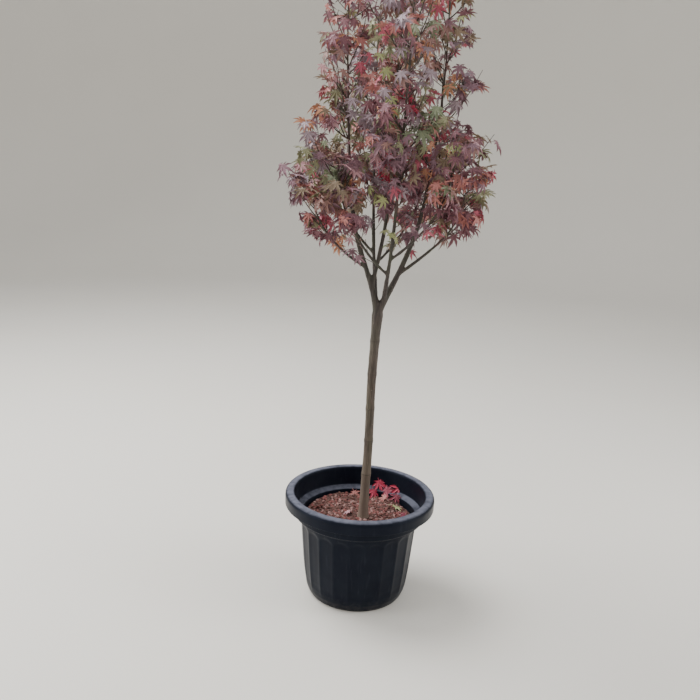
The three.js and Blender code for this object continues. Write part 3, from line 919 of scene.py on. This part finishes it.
def moulded_polypropylene(pot):
    """Injection-moulded black polypropylene: satin, blue cast, dusty where water dries, painted highlight on
    top.
    """
    material, tree, shader = start_finish("moulded polypropylene", 0.4, 1.49)
    shader["Specular IOR Level"].default_value = 0.16
    shader["Specular Tint"].default_value = linear("#b2bddb")
    colour = overlay(tree, pot.colour, pot.worn_colour, marks(tree, 70, detail=4), 0.35, 0.65)
    # Drips leave faint upright lines some 9 mm wide
    colour = overlay(tree, colour, pot.dust_and_highlight_colour, marks(tree, 9, (1, 1, 9), 4), 0.58, 0.8, 0.06)
    # Dust settles in blotches on what faces up; this also paints the sky's highlight on the rim's crest
    normal = add_node(tree, "ShaderNodeNewGeometry", output="Normal")
    upward = add_node(tree, "ShaderNodeSeparateXYZ", {"Vector": normal}, "Z")
    blotch = {"Value": marks(tree, 24, detail=5), "From Min": 0.3, "From Max": 0.62, "To Min": 0.78}
    dust_and_highlight_mask = {"Value": upward, "Value_001": add_node(tree, "ShaderNodeMapRange", blotch)}
    dust_and_highlight_mask = add_node(tree, "ShaderNodeMath", dust_and_highlight_mask, operation="MULTIPLY")
    colour = overlay(tree, colour, pot.dust_and_highlight_colour, dust_and_highlight_mask, 0.58, 0.97, pot.dust_and_highlight)
    # Watering splashes grit on the lowest 90 mm
    low = {"Value": height_above_ground(tree), "From Max": 0.09, "To Min": 1.0, "To Max": 0.0}
    splash = {"Value": add_node(tree, "ShaderNodeMapRange", low), "Value_001": marks(tree, 12, detail=6)}
    splash = add_node(tree, "ShaderNodeMath", splash, operation="MULTIPLY")
    overlay(tree, colour, linear("#5a5652"), splash, 0.3, 0.6, 0.22, shader["Base Color"])
    dull = {"Value": dust_and_highlight_mask, "From Min": 0.1, "From Max": 0.8, "To Min": 0.38, "To Max": 0.72}
    add_node(tree, "ShaderNodeMapRange", dull, feeds=shader["Roughness"])
    # The mould's sparked grain is about 0.5 mm, drawn at 2 mm so that it shows
    grain = {"Height": marks(tree, 2, detail=2), "Distance": 0.12 * MM, "Strength": 0.5}
    add_node(tree, "ShaderNodeBump", grain, feeds=shader["Normal"])
    return material


def composted_mix(soil):
    """Damp composted bark and coir: dark, matt and crumbly, browns broken by rust."""
    material, tree, shader = start_finish("composted bark mix", 0.95, 1.4)
    crumbs = marks(tree, 6, detail=5)
    colour = overlay(tree, soil.colour, soil.dry_colour, crumbs, 0.38, 0.62)
    overlay(tree, colour, linear("#2a1e1a"), marks(tree, 45), 0.45, 0.7, 0.5, shader["Base Color"])
    add_node(tree, "ShaderNodeBump", {"Height": crumbs, "Distance": 2.5 * MM}, feeds=shader["Normal"])
    return material


def bark_chip(name, hex_colour):
    """A flake of composted bark: matt and fibrous, in one tint."""
    material, tree, shader = start_finish(name, 0.9, 1.4)
    fibres = marks(tree, 2.5)
    overlay(tree, linear(hex_colour), linear("#33261f"), fibres, 0.4, 0.75, 0.6, shader["Base Color"])
    add_node(tree, "ShaderNodeBump", {"Height": fibres, "Distance": 0.4 * MM}, feeds=shader["Normal"])
    return material


def young_maple_bark(bark):
    """Smooth young maple bark: grey-brown and finely streaked, darker and greener up the boughs."""
    material, tree, shader = start_finish("young maple bark", 0.72, 1.45)
    streaks = marks(tree, 5, (1, 1, 9), 4)
    patches = marks(tree, 38, (1, 1, 2.5), 4)
    height = height_above_ground(tree)
    trunk = overlay(tree, bark.colour, bark.streak_colour, streaks, 0.36, 0.66)
    trunk = overlay(tree, trunk, linear("#6e6159"), patches, 0.52, 0.7, 0.5)
    trunk = overlay(tree, trunk, linear("#5b5e45"), marks(tree, 60, (1, 1, 3)), 0.48, 0.72, 0.35)
    bough = overlay(tree, bark.bough_colour, linear("#2f2b29"), streaks, 0.36, 0.66)
    bough = overlay(tree, bough, linear("#454a38"), patches, 0.45, 0.65, 0.45)
    # The trunk is paler below 0.5 m, and darkens into the boughs from 0.68 m up
    # The paler foot is painted light: it lifts the shade that the pot casts on the trunk
    trunk = overlay(tree, trunk, linear("#8d7b6d"), height, 0.5, 0.24, 0.68)
    colour = overlay(tree, trunk, bough, height, 0.68, 0.98)
    # Old leaf joints leave a dark ring, stored on the mesh
    ring = add_node(tree, "ShaderNodeAttribute", output="Fac", attribute_name="ring")
    colour = overlay(tree, colour, linear("#3a322d"), ring, 0.2, 1.0, 0.6)
    # Breathing pores are pale dots some 2 mm wide, flat across the limb
    place = add_node(tree, "ShaderNodeTexCoord", output="Object")
    place = add_node(tree, "ShaderNodeMapping", {"Vector": place, "Scale": (1, 1, 1.8)})
    pores = add_node(tree, "ShaderNodeTexVoronoi", {"Vector": place, "Scale": 1 / (11 * MM)}, "Distance")
    pores = {"Value": pores, "Value_001": marks(tree, 16)}
    pores = add_node(tree, "ShaderNodeMath", pores, operation="ADD")
    overlay(tree, colour, linear("#978c80"), pores, 0.56, 0.46, 0.45, shader["Base Color"])
    sheen = {"Value": streaks, "From Min": 0.3, "From Max": 0.7, "To Min": 0.62, "To Max": 0.82}
    add_node(tree, "ShaderNodeMapRange", sheen, feeds=shader["Roughness"])
    add_node(tree, "ShaderNodeBump", {"Height": streaks, "Distance": 0.7 * MM}, feeds=shader["Normal"])
    return material


def shoot_skin(crown):
    """The skin of young maple shoots: thin, smooth and slightly waxy, from dark red to olive."""
    material, tree, shader = start_finish("maple shoot skin", 0.5, 1.45)
    colour = overlay(tree, crown.shoot_colour, linear("#3c3c2e"), marks(tree, 55), 0.42, 0.6)
    fibres = marks(tree, 4, (1, 1, 4), 2)
    overlay(tree, colour, linear("#6d5a50"), fibres, 0.4, 0.7, 0.3, shader["Base Color"])
    ribs = {"Height": marks(tree, 3, (1, 1, 5), 2), "Distance": 0.2 * MM, "Strength": 0.6}
    add_node(tree, "ShaderNodeBump", ribs, feeds=shader["Normal"])
    return material


def autumn_leaf(name, hex_colour):
    """A thin autumn maple leaf: one tint, its soft sheen broken by veins and by drying."""
    material, tree, shader = start_finish(name, 0.5, 1.42)
    shader["Base Color"].default_value = linear(hex_colour)
    veins = marks(tree, 7)
    sheen = {"Value": veins, "From Min": 0.3, "From Max": 0.7, "To Min": 0.44, "To Max": 0.66}
    add_node(tree, "ShaderNodeMapRange", sheen, feeds=shader["Roughness"])
    creases = {"Height": veins, "Distance": 0.6 * MM, "Strength": 0.7}
    add_node(tree, "ShaderNodeBump", creases, feeds=shader["Normal"])
    return material


def studio_plaster(stage):
    """Pale matt plaster, with the faintest cloud."""
    material, tree, shader = start_finish("pale studio plaster", 0.85, 1.45)
    cloud = marks(tree, 900)
    overlay(tree, stage.floor_colour, linear("#b9b5ad"), cloud, 0.3, 0.7, 0.06, shader["Base Color"])
    return material


# Settings

POT_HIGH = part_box("pot")[1]


def setting(kind, name, description, default, **more):
    return kind(name=name, description=description, default=default, **more)


number_setting = functools.partial(setting, FloatProperty)
count_setting = functools.partial(setting, IntProperty)
length_setting = functools.partial(setting, FloatProperty, min=0.0001, unit="LENGTH")


def colour_setting(name, description, hex_colour):
    colour = linear(hex_colour)
    return setting(FloatVectorProperty, name, description, colour, size=4, subtype="COLOR", min=0, max=1)


class PotSettings(bpy.types.PropertyGroup):
    height: length_setting("Height", "From the ground to the crest of the rim", POT_HIGH.z)
    rim_radius: length_setting("Rim Radius", "From the pot's middle to the outside of its rim", POT_HIGH.x)
    flutes: count_setting("Flutes", "Upright hollows round the wall", 22, min=3)
    flute_depth: length_setting("Flute Depth", "How far each flute is pressed in", 0.003)
    colour: colour_setting("Colour", "The moulded plastic", "#10131c")
    worn_colour: colour_setting("Worn Colour", "Where the surface has clouded", "#161a22")
    # The dust colour also paints the sky's highlight on the rim's crest, and Dust sets the share of dust and
    # painted highlight on what faces up
    dust_and_highlight_colour: colour_setting("Dust Colour", "Dry dust and water marks", "#70727f")
    dust_and_highlight: number_setting("Dust", "Share of dust on upward faces", 0.72, subtype="FACTOR")


class SoilSettings(bpy.types.PropertyGroup):
    crumb: length_setting("Crumb Height", "How far the crumbs stand up or dip", 0.0028)
    colour: colour_setting("Colour", "The damp mix", "#3d2925")
    dry_colour: colour_setting("Dry Colour", "The dry crumbs", "#6b4b45")
    chip_length: length_setting("Chip Length", "Length of the longest chips of bark", 0.02)
    chips_per_area: number_setting("Chips per Area", "Most chips of each tint per m²", 6400)
    seed: count_setting("Seed", "Draws where the chips lie", 4)


class BarkSettings(bpy.types.PropertyGroup):
    grid: length_setting("Grid", "Size of the faces that the limbs are skinned with", 0.0015)
    relief: length_setting("Relief", "Depth of the bark's long ripples", 0.00045, precision=5)
    colour: colour_setting("Colour", "The trunk", "#544940")
    streak_colour: colour_setting("Streak Colour", "The trunk's dark streaks", "#3c332d")
    bough_colour: colour_setting("Bough Colour", "The boughs above the fork", "#453d39")


class CrownSettings(bpy.types.PropertyGroup):
    leaf_length: length_setting("Leaf Length", "Length of a leaf with its stalk", 0.058)
    length_spread: number_setting("Length Spread", "How much shorter the shortest are", 0.1, subtype="FACTOR")
    seed: count_setting("Seed", "Draws the spread of length", 7)
    sides: count_setting("Shoot Sides", "Sides of a shoot's ring", 7, min=3)
    thickness: number_setting("Shoot Thickness", "Times the grown thickness", 1.0)
    shoot_colour: colour_setting("Shoot Colour", "The young wood", "#4b3735")


class StageSettings(bpy.types.PropertyGroup):
    floor_radius: length_setting("Floor Radius", "From the pot to where the floor starts to rise", 7.0)
    floor_colour: colour_setting("Floor Colour", "The plaster", "#dcd8d0")
    key_power: number_setting("Key Power", "The large light above", 280, unit="POWER")
    fill_power: number_setting("Fill Power", "The lights at both sides", 60, unit="POWER")
    sky: number_setting("Sky", "Strength of the light from all round", 1.0)


# Pot and potting mix

POT_STEPS = 264
# Size of the faces up the pot's wall
POT_FACE = 5
# The flutes' rounded tops, the heights between which they fade in, and how square they are. What lies outside
# the wall, whose radius at a height grows by a slope, is fluted
FLUTE = {"below_collar": 20, "arch": 14, "fade": 8, "low": (18, 62), "square": 2.5, "wall": (157, 48, 0.08)}


def pot_profile():
    """The pot's section, from under its middle round the outside and the rolled rim to the floor inside."""
    p = POT
    rim, height, skirt = p["rim"], p["height"], p["skirt_foot"]
    outer = [
        (0, 0, 0), (p["foot"], 0, 3), (155, 9, 12), (161, 24, 14), (165.5, 42, 18), (169.5, 68, 30),
        (174, 106, 30), (p["body_top"], 254, 5), (191, 262, 3), (p["collar"], p["collar_foot"], 4),
        (p["collar"], 328, 4), (rim - 5, 326, 2), (rim - 5, skirt, 2), (rim - 1, skirt, 1.5),
        (rim, height, 15),
    ]
    inner = [
        (p["lip_inner"], height, 9), (203, 277, 4), (182, 267, 4), (p["body_low"] - 5, p["low_at"], 12),
        (p["foot"] - 3, p["floor"], 6), (0, p["floor"], 0),
    ]
    return divided(rounded(outer + inner), POT_FACE)


def build_pot(settings):
    size = (settings.rim_radius / MM / POT["rim"], settings.height / MM / POT["height"])

    def flute(r, z, turns):
        across = np.abs((turns * settings.flutes / (2 * np.pi)) % 1 - 0.5) * 2
        top = POT["collar_foot"] - FLUTE["below_collar"] - FLUTE["arch"] * across ** 2
        press = settings.flute_depth / MM * (1 - across ** FLUTE["square"])
        press = press * smoothstep(z, *FLUTE["low"]) * (1 - smoothstep(z, top - FLUTE["fade"], top))
        wall, foot, slope = FLUTE["wall"]
        pressed = r - press * (r > wall + (z - foot) * slope)
        return pressed * np.cos(turns) * size[0], pressed * np.sin(turns) * size[0], z * size[1]

    pot = revolved("pot_shell", pot_profile(), POT_STEPS, flute)
    return place_piece(pot, ["pot"], moulded_polypropylene(settings))


def soil_height(x, y):
    """The height of the potting mix, flat about the trunk's foot and gently heaped beyond."""
    away = np.hypot(x - TRUNK["foot"][0], y - TRUNK["foot"][1])
    swell = 0.6 * np.sin(x / 41 + 1.1) * np.cos(y / 53) + 0.4 * np.cos(x / 29 - y / 37)
    swell = swell + (y - x) / SOIL["tilt"]
    return SOIL["level"] + smoothstep(away, SOIL["pad"], SOIL["heaped"]) * SOIL["swell"] * swell


# The mix as a section inside the pot, and the size of its faces round and out
MIX = {
    "floor": 10.3, "wall": [(145, 10.3), (160, 48), (177, 246), (171.7, 252)], "rim": 168.5,
    "steps": (256, 3.5),
}
# Its crumbs, as widths in millimetres and shares of the crumb height
CRUMBS = ((7, 1, 3), (3, 0.5, 9))


def build_soil(settings):
    steps, step = MIX["steps"]
    top = [(r, SOIL["level"]) for r in np.arange(MIX["rim"], 0, -step)]
    profile = np.array([(0, MIX["floor"]), *MIX["wall"], *top, (0, SOIL["level"])])

    def heap(r, z, turns):
        x, y = r * np.cos(turns), r * np.sin(turns)
        crumb = np.array([
            sum(share * noise.noise((a / width, b / width, layer)) for width, share, layer in CRUMBS)
            for a, b in zip(x.flat, y.flat)
        ])
        heaped = soil_height(x, y) + settings.crumb / MM * crumb.reshape(x.shape)
        return x, y, np.where(z > SOIL["level"] - 1, heaped, z)

    soil = revolved("potting_mix", profile, steps, heap)
    return place_piece(soil, ["soil"], composted_mix(settings))


# Shares of a flake's length, as the least and how much more may be drawn
FLAKE = {"seed": 31, "width": (0.45, 0.4), "thickness": (0.25, 0.3), "jag": (0.7, 0.5)}


def chip_shapes(count=7):
    """Flat, jagged flakes of length 1, of twenty faces each."""
    random = seeded(FLAKE["seed"])
    shapes = []
    for _ in range(count):
        flake = bmesh.new()
        bmesh.ops.create_icosphere(flake, subdivisions=1, radius=0.5)
        wide, thick = at_least(random, *FLAKE["width"]), at_least(random, *FLAKE["thickness"])
        jag = [at_least(random, *FLAKE["jag"]) for _ in flake.verts]
        vertices = [(v.co.x * j, v.co.y * j * wide, v.co.z * j * thick) for v, j in zip(flake.verts, jag)]
        shapes.append((vertices, [[v.index for v in face.verts] for face in flake.faces]))
        flake.free()
    return shapes


# The chips' tints, with the share of the most chips that each has
CHIP_TINTS = (("brown", "#6a4a42", 1.0), ("rust", "#85504c", 0.8), ("pale", "#a07c76", 0.6))
# Chips lie this share of their length apart, within a radius of the pot's middle and clear of the trunk
CHIPS = {"apart": 0.42, "within": 168, "clear": 22}


def build_chips(settings, soil):
    """Chips of composted bark, a piece for each tint."""
    tree, shapes = chip_tree(), shape_collection("Chips", chip_shapes())
    for number, (tint, colour, share) in enumerate(CHIP_TINTS):
        source = link(bpy.data.objects.new("chips", soil.data))
        chips = grow("bark_chips_" + tint, source, tree, {
            "Chips": shapes, "Chips per Area": settings.chips_per_area * share,
            "Chip Length": settings.chip_length, "Spacing": CHIPS["apart"] * settings.chip_length,
            "Mix Radius": CHIPS["within"] * MM, "Trunk Radius": CHIPS["clear"] * MM,
            "Trunk Foot": (TRUNK["foot"][0] * MM, 0, 0), "Seed": settings.seed + number,
            "Material": bark_chip("composted bark chip, " + tint, colour),
        })
        place_piece(chips, ["soil"])
    remove_collection(shapes)


# Leaves that have dropped on the mix: the blade's middle as (x, y, height over the mix), its heading, droop
# and roll in degrees, its length, and its tint
FALLEN = (
    ((72, 176, 32), -70, 44, 24, 72, "ruby"),
    ((124, 144, 30), -150, 8, -46, 76, "ruby"),
    ((104, 152, 16), -30, 26, 38, 70, "crimson"),
    ((124, 108, 12), -110, 38, -28, 64, "crimson"),
    ((46, 158, 12), -120, 30, -34, 62, "ruby"),
    ((-12, 152, 8), -70, 16, 14, 54, "brick"),
    ((78, 130, 9), 160, 12, -22, 52, "brick"),
    ((-136, 46, 8), 110, 8, -8, 52, "brick"),
    ((-42, 10, 7), 200, 12, 12, 44, "rose"),
    ((150, 12, 8), -40, 14, 8, 46, "crimson"),
    ((134, 72, 8), -10, 8, -10, 62, "lime"),
    ((60, -120, 7), 250, 8, 6, 54, "crimson"),
    ((-84, -96, 7), 215, 6, -14, 58, "russet"),
)


# The blade's middle as a share of the leaf's length
BLADE_MIDDLE = 0.6


def build_fallen_leaves(settings):
    """The dropped leaves, which take turns between the two flattest shapes."""
    leaves = []
    tints = [name for name, _, _ in TINTS]
    for (x, y, lift), heading, droop, roll, length, tint in FALLEN:
        middle = np.array([x, y, float(soil_height(x, y)) + lift])
        turn = leaf_turn(heading, droop, roll)
        leaves.append({
            "place": middle - np.array(turn)[:, 1] * BLADE_MIDDLE * length, "turn": tuple(turn.to_euler()),
            "shape": len(leaves) % 2, "size": length * MM / settings.leaf_length, "tint": tints.index(tint),
        })
    leaf_pieces("fallen_leaves_", leaves, settings, ["soil"])


# Bark, shoots and leaves

BOUGH_RING = {"spacing": 38, "swell": 0.1, "width": 2.6, "mark": 2.2}
# How much thicker a bough is at its foot, on the trunk and on another bough, and over what length
COLLAR = {"trunk": (0.6, 32), "bough": (0.4, 10)}
# The limbs' tubes start this far down in the mix, and have rings so far apart with so many sides
LIMB_TUBE = {"root": 8, "step": 3, "sides": 28}
# Forks are faired in so many rounds, each by this share close to the fork and by none at the second distance
FAIRING = {"rounds": 30, "share": 0.5, "reach": (13.8, 46)}
# The bark's ripples, as the width across and along the trunk and the share of the relief
RIPPLES = ((14, 90, 1), (5, 22, 0.5))


def bark_lines():
    """Each limb's smooth path, its radii and the places of its joints."""
    for name, limb in LIMBS.items():
        path, shares = smooth_path(limb["points"], LIMB_TUBE["step"])
        radii = limb["radius"](shares)
        if name == "trunk":
            joints = np.array(TRUNK_JOINTS)
            path = np.vstack([path[0] - (0, 0, LIMB_TUBE["root"]), path])
            radii = np.append(radii[0], radii)
        else:
            length = path_length(path)
            joints = np.arange(BOUGH_RING["spacing"], length, BOUGH_RING["spacing"]) / length
            apart = (shares[:, None] - joints) * length / BOUGH_RING["width"]
            swell, reach = COLLAR["trunk" if limb["parent"] == "trunk" else "bough"]
            collar = swell * np.exp(-shares * length / reach)
            radii = radii * (1 + collar + BOUGH_RING["swell"] * np.exp(-apart ** 2).sum(1))
        yield limb, path, radii, joints


def fair_forks(mesh):
    """Smooths the skin about the forks. Gives its places in millimetres."""
    places = read_values(mesh.vertices, "co", 3) / MM
    a, b = read_values(mesh.edges, "vertices", 2, int).T
    count = np.bincount(np.append(a, b), minlength=len(places))[:, None]
    forks = [limb["points"][0] for limb in LIMBS.values() if "parent" in limb]
    near = np.min([np.linalg.norm(places - fork, axis=1) for fork in forks], axis=0)
    share = FAIRING["share"] * (1 - smoothstep(near, *FAIRING["reach"]))[:, None]
    for _ in range(FAIRING["rounds"]):
        total = [np.bincount(a, row[b], len(row)) + np.bincount(b, row[a], len(row)) for row in places.T]
        places = places + (np.stack(total, axis=1) / count - places) * share
    mesh.vertices.foreach_set("co", (places * MM).ravel())
    mesh.update()
    return places


def build_bark(settings):
    """The trunk and the boughs skinned as one, with their forks faired and the bark's ripples raised."""
    vertices, faces = np.zeros((0, 3)), []
    for _, path, radii, _ in bark_lines():
        ring, sides = tube(path, radii, LIMB_TUBE["sides"])
        faces += [tuple(k + len(vertices) for k in face) for face in sides]
        vertices = np.vstack([vertices, ring])
    source = new_object("limbs", vertices, faces)
    skin = source.modifiers.new("Skin", "REMESH")
    skin.mode, skin.voxel_size = "VOXEL", settings.grid
    bark = plain_mesh("maple_bark", source)
    mesh = bark.data
    places = fair_forks(mesh)
    ripple = np.array([
        sum(share * noise.noise((x / across, y / across, z / along)) for across, along, share in RIPPLES)
        for x, y, z in places
    ])
    normals = read_values(mesh.vertices, "normal", 3)
    places = places * MM + normals * (ripple * settings.relief)[:, None]
    mesh.vertices.foreach_set("co", places.ravel())
    add_values(mesh, "ring", "FLOAT", ring_marks(places / MM))
    return place_piece(bark, BARK_NODES, young_maple_bark(settings))


def ring_marks(places):
    """How near each place is to an old leaf joint of the limb that it lies on, from 0 to 1."""
    best, marks_there = np.full(len(places), 1e9), np.zeros(len(places))
    for limb, path, _, joints in bark_lines():
        distance, share = nearest(places, limb["points"])
        depth = distance - limb["radius"](share)
        mark = np.exp(-((share[:, None] - joints) * path_length(path) / BOUGH_RING["mark"]) ** 2).sum(1)
        marks_there = np.where(depth < best, mark, marks_there)
        best = np.minimum(depth, best)
    return marks_there


# How much thicker a stem is at its twigs, and over how many of its points
SHOOT_JOINT = {"swell": 0.25, "width": 1.2}


def build_shoots(settings):
    """Every stem, twig and shoot of the crown, in one piece."""
    wood, _ = grow_crown(settings.leaf_length / MM)
    points, thickness, edges = [], [], []
    for path, foot, tip, joints in wood:
        shares = np.linspace(0, 1, len(path))
        apart = (shares[:, None] - np.array(joints, float)) * len(path) / SHOOT_JOINT["width"]
        swell = 1 + SHOOT_JOINT["swell"] * np.exp(-apart ** 2).sum(1)
        first = len(points)
        points += list(path)
        thickness += list((foot + (tip - foot) * shares) * swell * MM)
        edges += [(i, i + 1) for i in range(first, len(points) - 1)]
    source = new_object("shoots", points, [], edges)
    add_values(source.data, "thickness", "FLOAT", thickness)
    shoots = grow("maple_shoots", source, shoot_tree(), {
        "Sides": settings.sides, "Thickness": settings.thickness, "Material": shoot_skin(settings),
    })
    return place_piece(shoots, FOLIAGE_NODES)


def leaf_pieces(prefix, leaves, settings, nodes):
    """The leaves as one piece for each tint."""
    tree, shapes = leaf_tree(), shape_collection("Leaf shapes", LEAF_SHAPES)
    for number, (tint, colour, _) in enumerate(TINTS):
        chosen = [leaf for leaf in leaves if leaf["tint"] == number]
        if not chosen:
            continue
        source = new_object("leaf points", [leaf["place"] for leaf in chosen], [])
        for name, kind in LEAF_VALUES:
            add_values(source.data, name, kind, [leaf[name] for leaf in chosen])
        piece = grow(prefix + tint, source, tree, {
            "Leaf Shapes": shapes, "Leaf Length": settings.leaf_length,
            "Length Spread": settings.length_spread, "Seed": settings.seed + number,
            "Material": autumn_leaf("autumn maple leaf, " + tint, colour),
        })
        place_piece(piece, nodes)
    remove_collection(shapes)


def build_leaves(settings):
    leaf_pieces("leaves_", grow_crown(settings.leaf_length / MM)[1], settings, FOLIAGE_NODES)


# Stage

# The floor's ring of faces, and the wall that it rises into: the radius of the rise, and the wall's top
FLOOR = {"steps": 96, "rise": 2500, "rise_steps": 9, "top": 7000}
# Place and aim in metres, the disc's width, and the setting that holds its power
LIGHTS = {
    "key_light": ((-2.4, 1.2, 4.2), (0, 0, 1.1), 3.2, "key_power"),
    "left_light": ((-3.3, -0.7, 1.7), (0, 0, 0.7), 2.0, "fill_power"),
    "right_light": ((3.2, -0.2, 1.9), (0, 0, 0.7), 2.0, "fill_power"),
}


def build_floor(settings):
    """A round floor that rises in a curve into a wall."""
    radius, rise, steps = settings.floor_radius / MM, FLOOR["rise"], FLOOR["steps"]
    turns = 2 * np.pi * np.arange(steps) / steps
    curve = np.linspace(0, math.pi / 2, FLOOR["rise_steps"])
    rings = [(radius + rise * math.sin(t), rise * (1 - math.cos(t))) for t in curve]
    rings.append((radius + rise, FLOOR["top"]))
    places = [(r * math.cos(t), r * math.sin(t), z) for r, z in rings for t in turns] + [(0, 0, 0)]
    faces = []
    for k in range(steps):
        after = (k + 1) % steps
        faces.append((len(places) - 1, k, after))
        for first in range(0, (len(rings) - 1) * steps, steps):
            faces.append((first + k, first + steps + k, first + steps + after, first + after))
    floor = new_object("studio_floor", places, faces)
    shade(floor)
    floor.data.materials.append(studio_plaster(settings))


def set_lights(scene):
    settings = scene.maple_stage
    for name, (place, aim, size, power) in LIGHTS.items():
        light = bpy.data.lights.new(name, "AREA")
        light.shape, light.size, light.energy = "DISK", size, getattr(settings, power)
        lamp = link(bpy.data.objects.new(name, light))
        lamp.location = place
        lamp.rotation_euler = (Vector(aim) - Vector(place)).to_track_quat("-Z", "Y").to_euler()
    scene.world = bpy.data.worlds.new("Pale studio")
    scene.world.use_nodes = True
    sky = scene.world.node_tree.nodes["Background"].inputs
    sky["Color"].default_value = linear("#f1f3f6")
    sky["Strength"].default_value = settings.sky


def set_camera(scene):
    """The camera, where the photograph was taken from."""
    lens = bpy.data.cameras.new("camera")
    lens.sensor_width, lens.lens = 36, CAMERA["lens"]
    tilt = Matrix.Rotation(math.radians(90 - CAMERA["pitch"]), 4, "X")
    roll = Matrix.Rotation(math.radians(CAMERA["roll"]), 4, "Z")
    scene.camera = link(bpy.data.objects.new("camera", lens))
    scene.camera.matrix_world = Matrix.Translation(CAMERA["place"]) @ tilt @ roll


# Operators

class MAPLE_OT_stage(bpy.types.Operator):
    """Lay the pale floor, and set the camera and the soft studio lights"""
    bl_idname = "maple.stage"
    bl_label = "Studio"

    def execute(self, context):
        build_floor(context.scene.maple_stage)
        set_lights(context.scene)
        set_camera(context.scene)
        return {"FINISHED"}


class MAPLE_OT_pot(bpy.types.Operator):
    """Mould the ribbed pot with its rolled rim"""
    bl_idname = "maple.pot"
    bl_label = "Pot"

    def execute(self, context):
        build_pot(context.scene.maple_pot)
        return {"FINISHED"}


class MAPLE_OT_soil(bpy.types.Operator):
    """Fill the pot with composted mix, and strew it with chips of bark"""
    bl_idname = "maple.soil"
    bl_label = "Potting Mix"

    def execute(self, context):
        build_chips(context.scene.maple_soil, build_soil(context.scene.maple_soil))
        return {"FINISHED"}


class MAPLE_OT_fallen_leaves(bpy.types.Operator):
    """Drop a few leaves on the potting mix"""
    bl_idname = "maple.fallen_leaves"
    bl_label = "Fallen Leaves"

    def execute(self, context):
        build_fallen_leaves(context.scene.maple_crown)
        return {"FINISHED"}


class MAPLE_OT_bark(bpy.types.Operator):
    """Skin the trunk and the boughs with bark"""
    bl_idname = "maple.bark"
    bl_label = "Trunk and Boughs"

    def execute(self, context):
        build_bark(context.scene.maple_bark)
        return {"FINISHED"}


class MAPLE_OT_shoots(bpy.types.Operator):
    """Grow the crown's stems, twigs and shoots"""
    bl_idname = "maple.shoots"
    bl_label = "Shoots"

    def execute(self, context):
        build_shoots(context.scene.maple_crown)
        return {"FINISHED"}


class MAPLE_OT_leaves(bpy.types.Operator):
    """Hang the autumn leaves on the shoots"""
    bl_idname = "maple.leaves"
    bl_label = "Leaves"

    def execute(self, context):
        build_leaves(context.scene.maple_crown)
        return {"FINISHED"}


OPERATORS = (
    MAPLE_OT_stage, MAPLE_OT_pot, MAPLE_OT_soil, MAPLE_OT_fallen_leaves, MAPLE_OT_bark, MAPLE_OT_shoots,
    MAPLE_OT_leaves,
)
SETTINGS = {
    "maple_stage": StageSettings, "maple_pot": PotSettings, "maple_soil": SoilSettings,
    "maple_bark": BarkSettings, "maple_crown": CrownSettings,
}


class MAPLE_PT_panel(bpy.types.Panel):
    """The settings of each group, and the buttons that build the pieces"""
    bl_label = "Japanese Maple"
    bl_space_type = "VIEW_3D"
    bl_region_type = "UI"
    bl_category = "Maple"

    def draw(self, context):
        for name, group in SETTINGS.items():
            box = self.layout.box()
            for field in group.__annotations__:
                box.prop(getattr(context.scene, name), field)
        for operator in OPERATORS:
            self.layout.operator(operator.bl_idname)


def register():
    for made in (*SETTINGS.values(), *OPERATORS, MAPLE_PT_panel):
        bpy.utils.register_class(made)
    for name, group in SETTINGS.items():
        setattr(bpy.types.Scene, name, PointerProperty(type=group))


def unregister():
    for name in SETTINGS:
        delattr(bpy.types.Scene, name)
    for made in (MAPLE_PT_panel, *OPERATORS[::-1], *list(SETTINGS.values())[::-1]):
        bpy.utils.unregister_class(made)


def main():
    register()
    for operator in OPERATORS:
        getattr(bpy.ops.maple, operator.bl_idname.split(".")[1])()


if __name__ == "__main__":
    main()
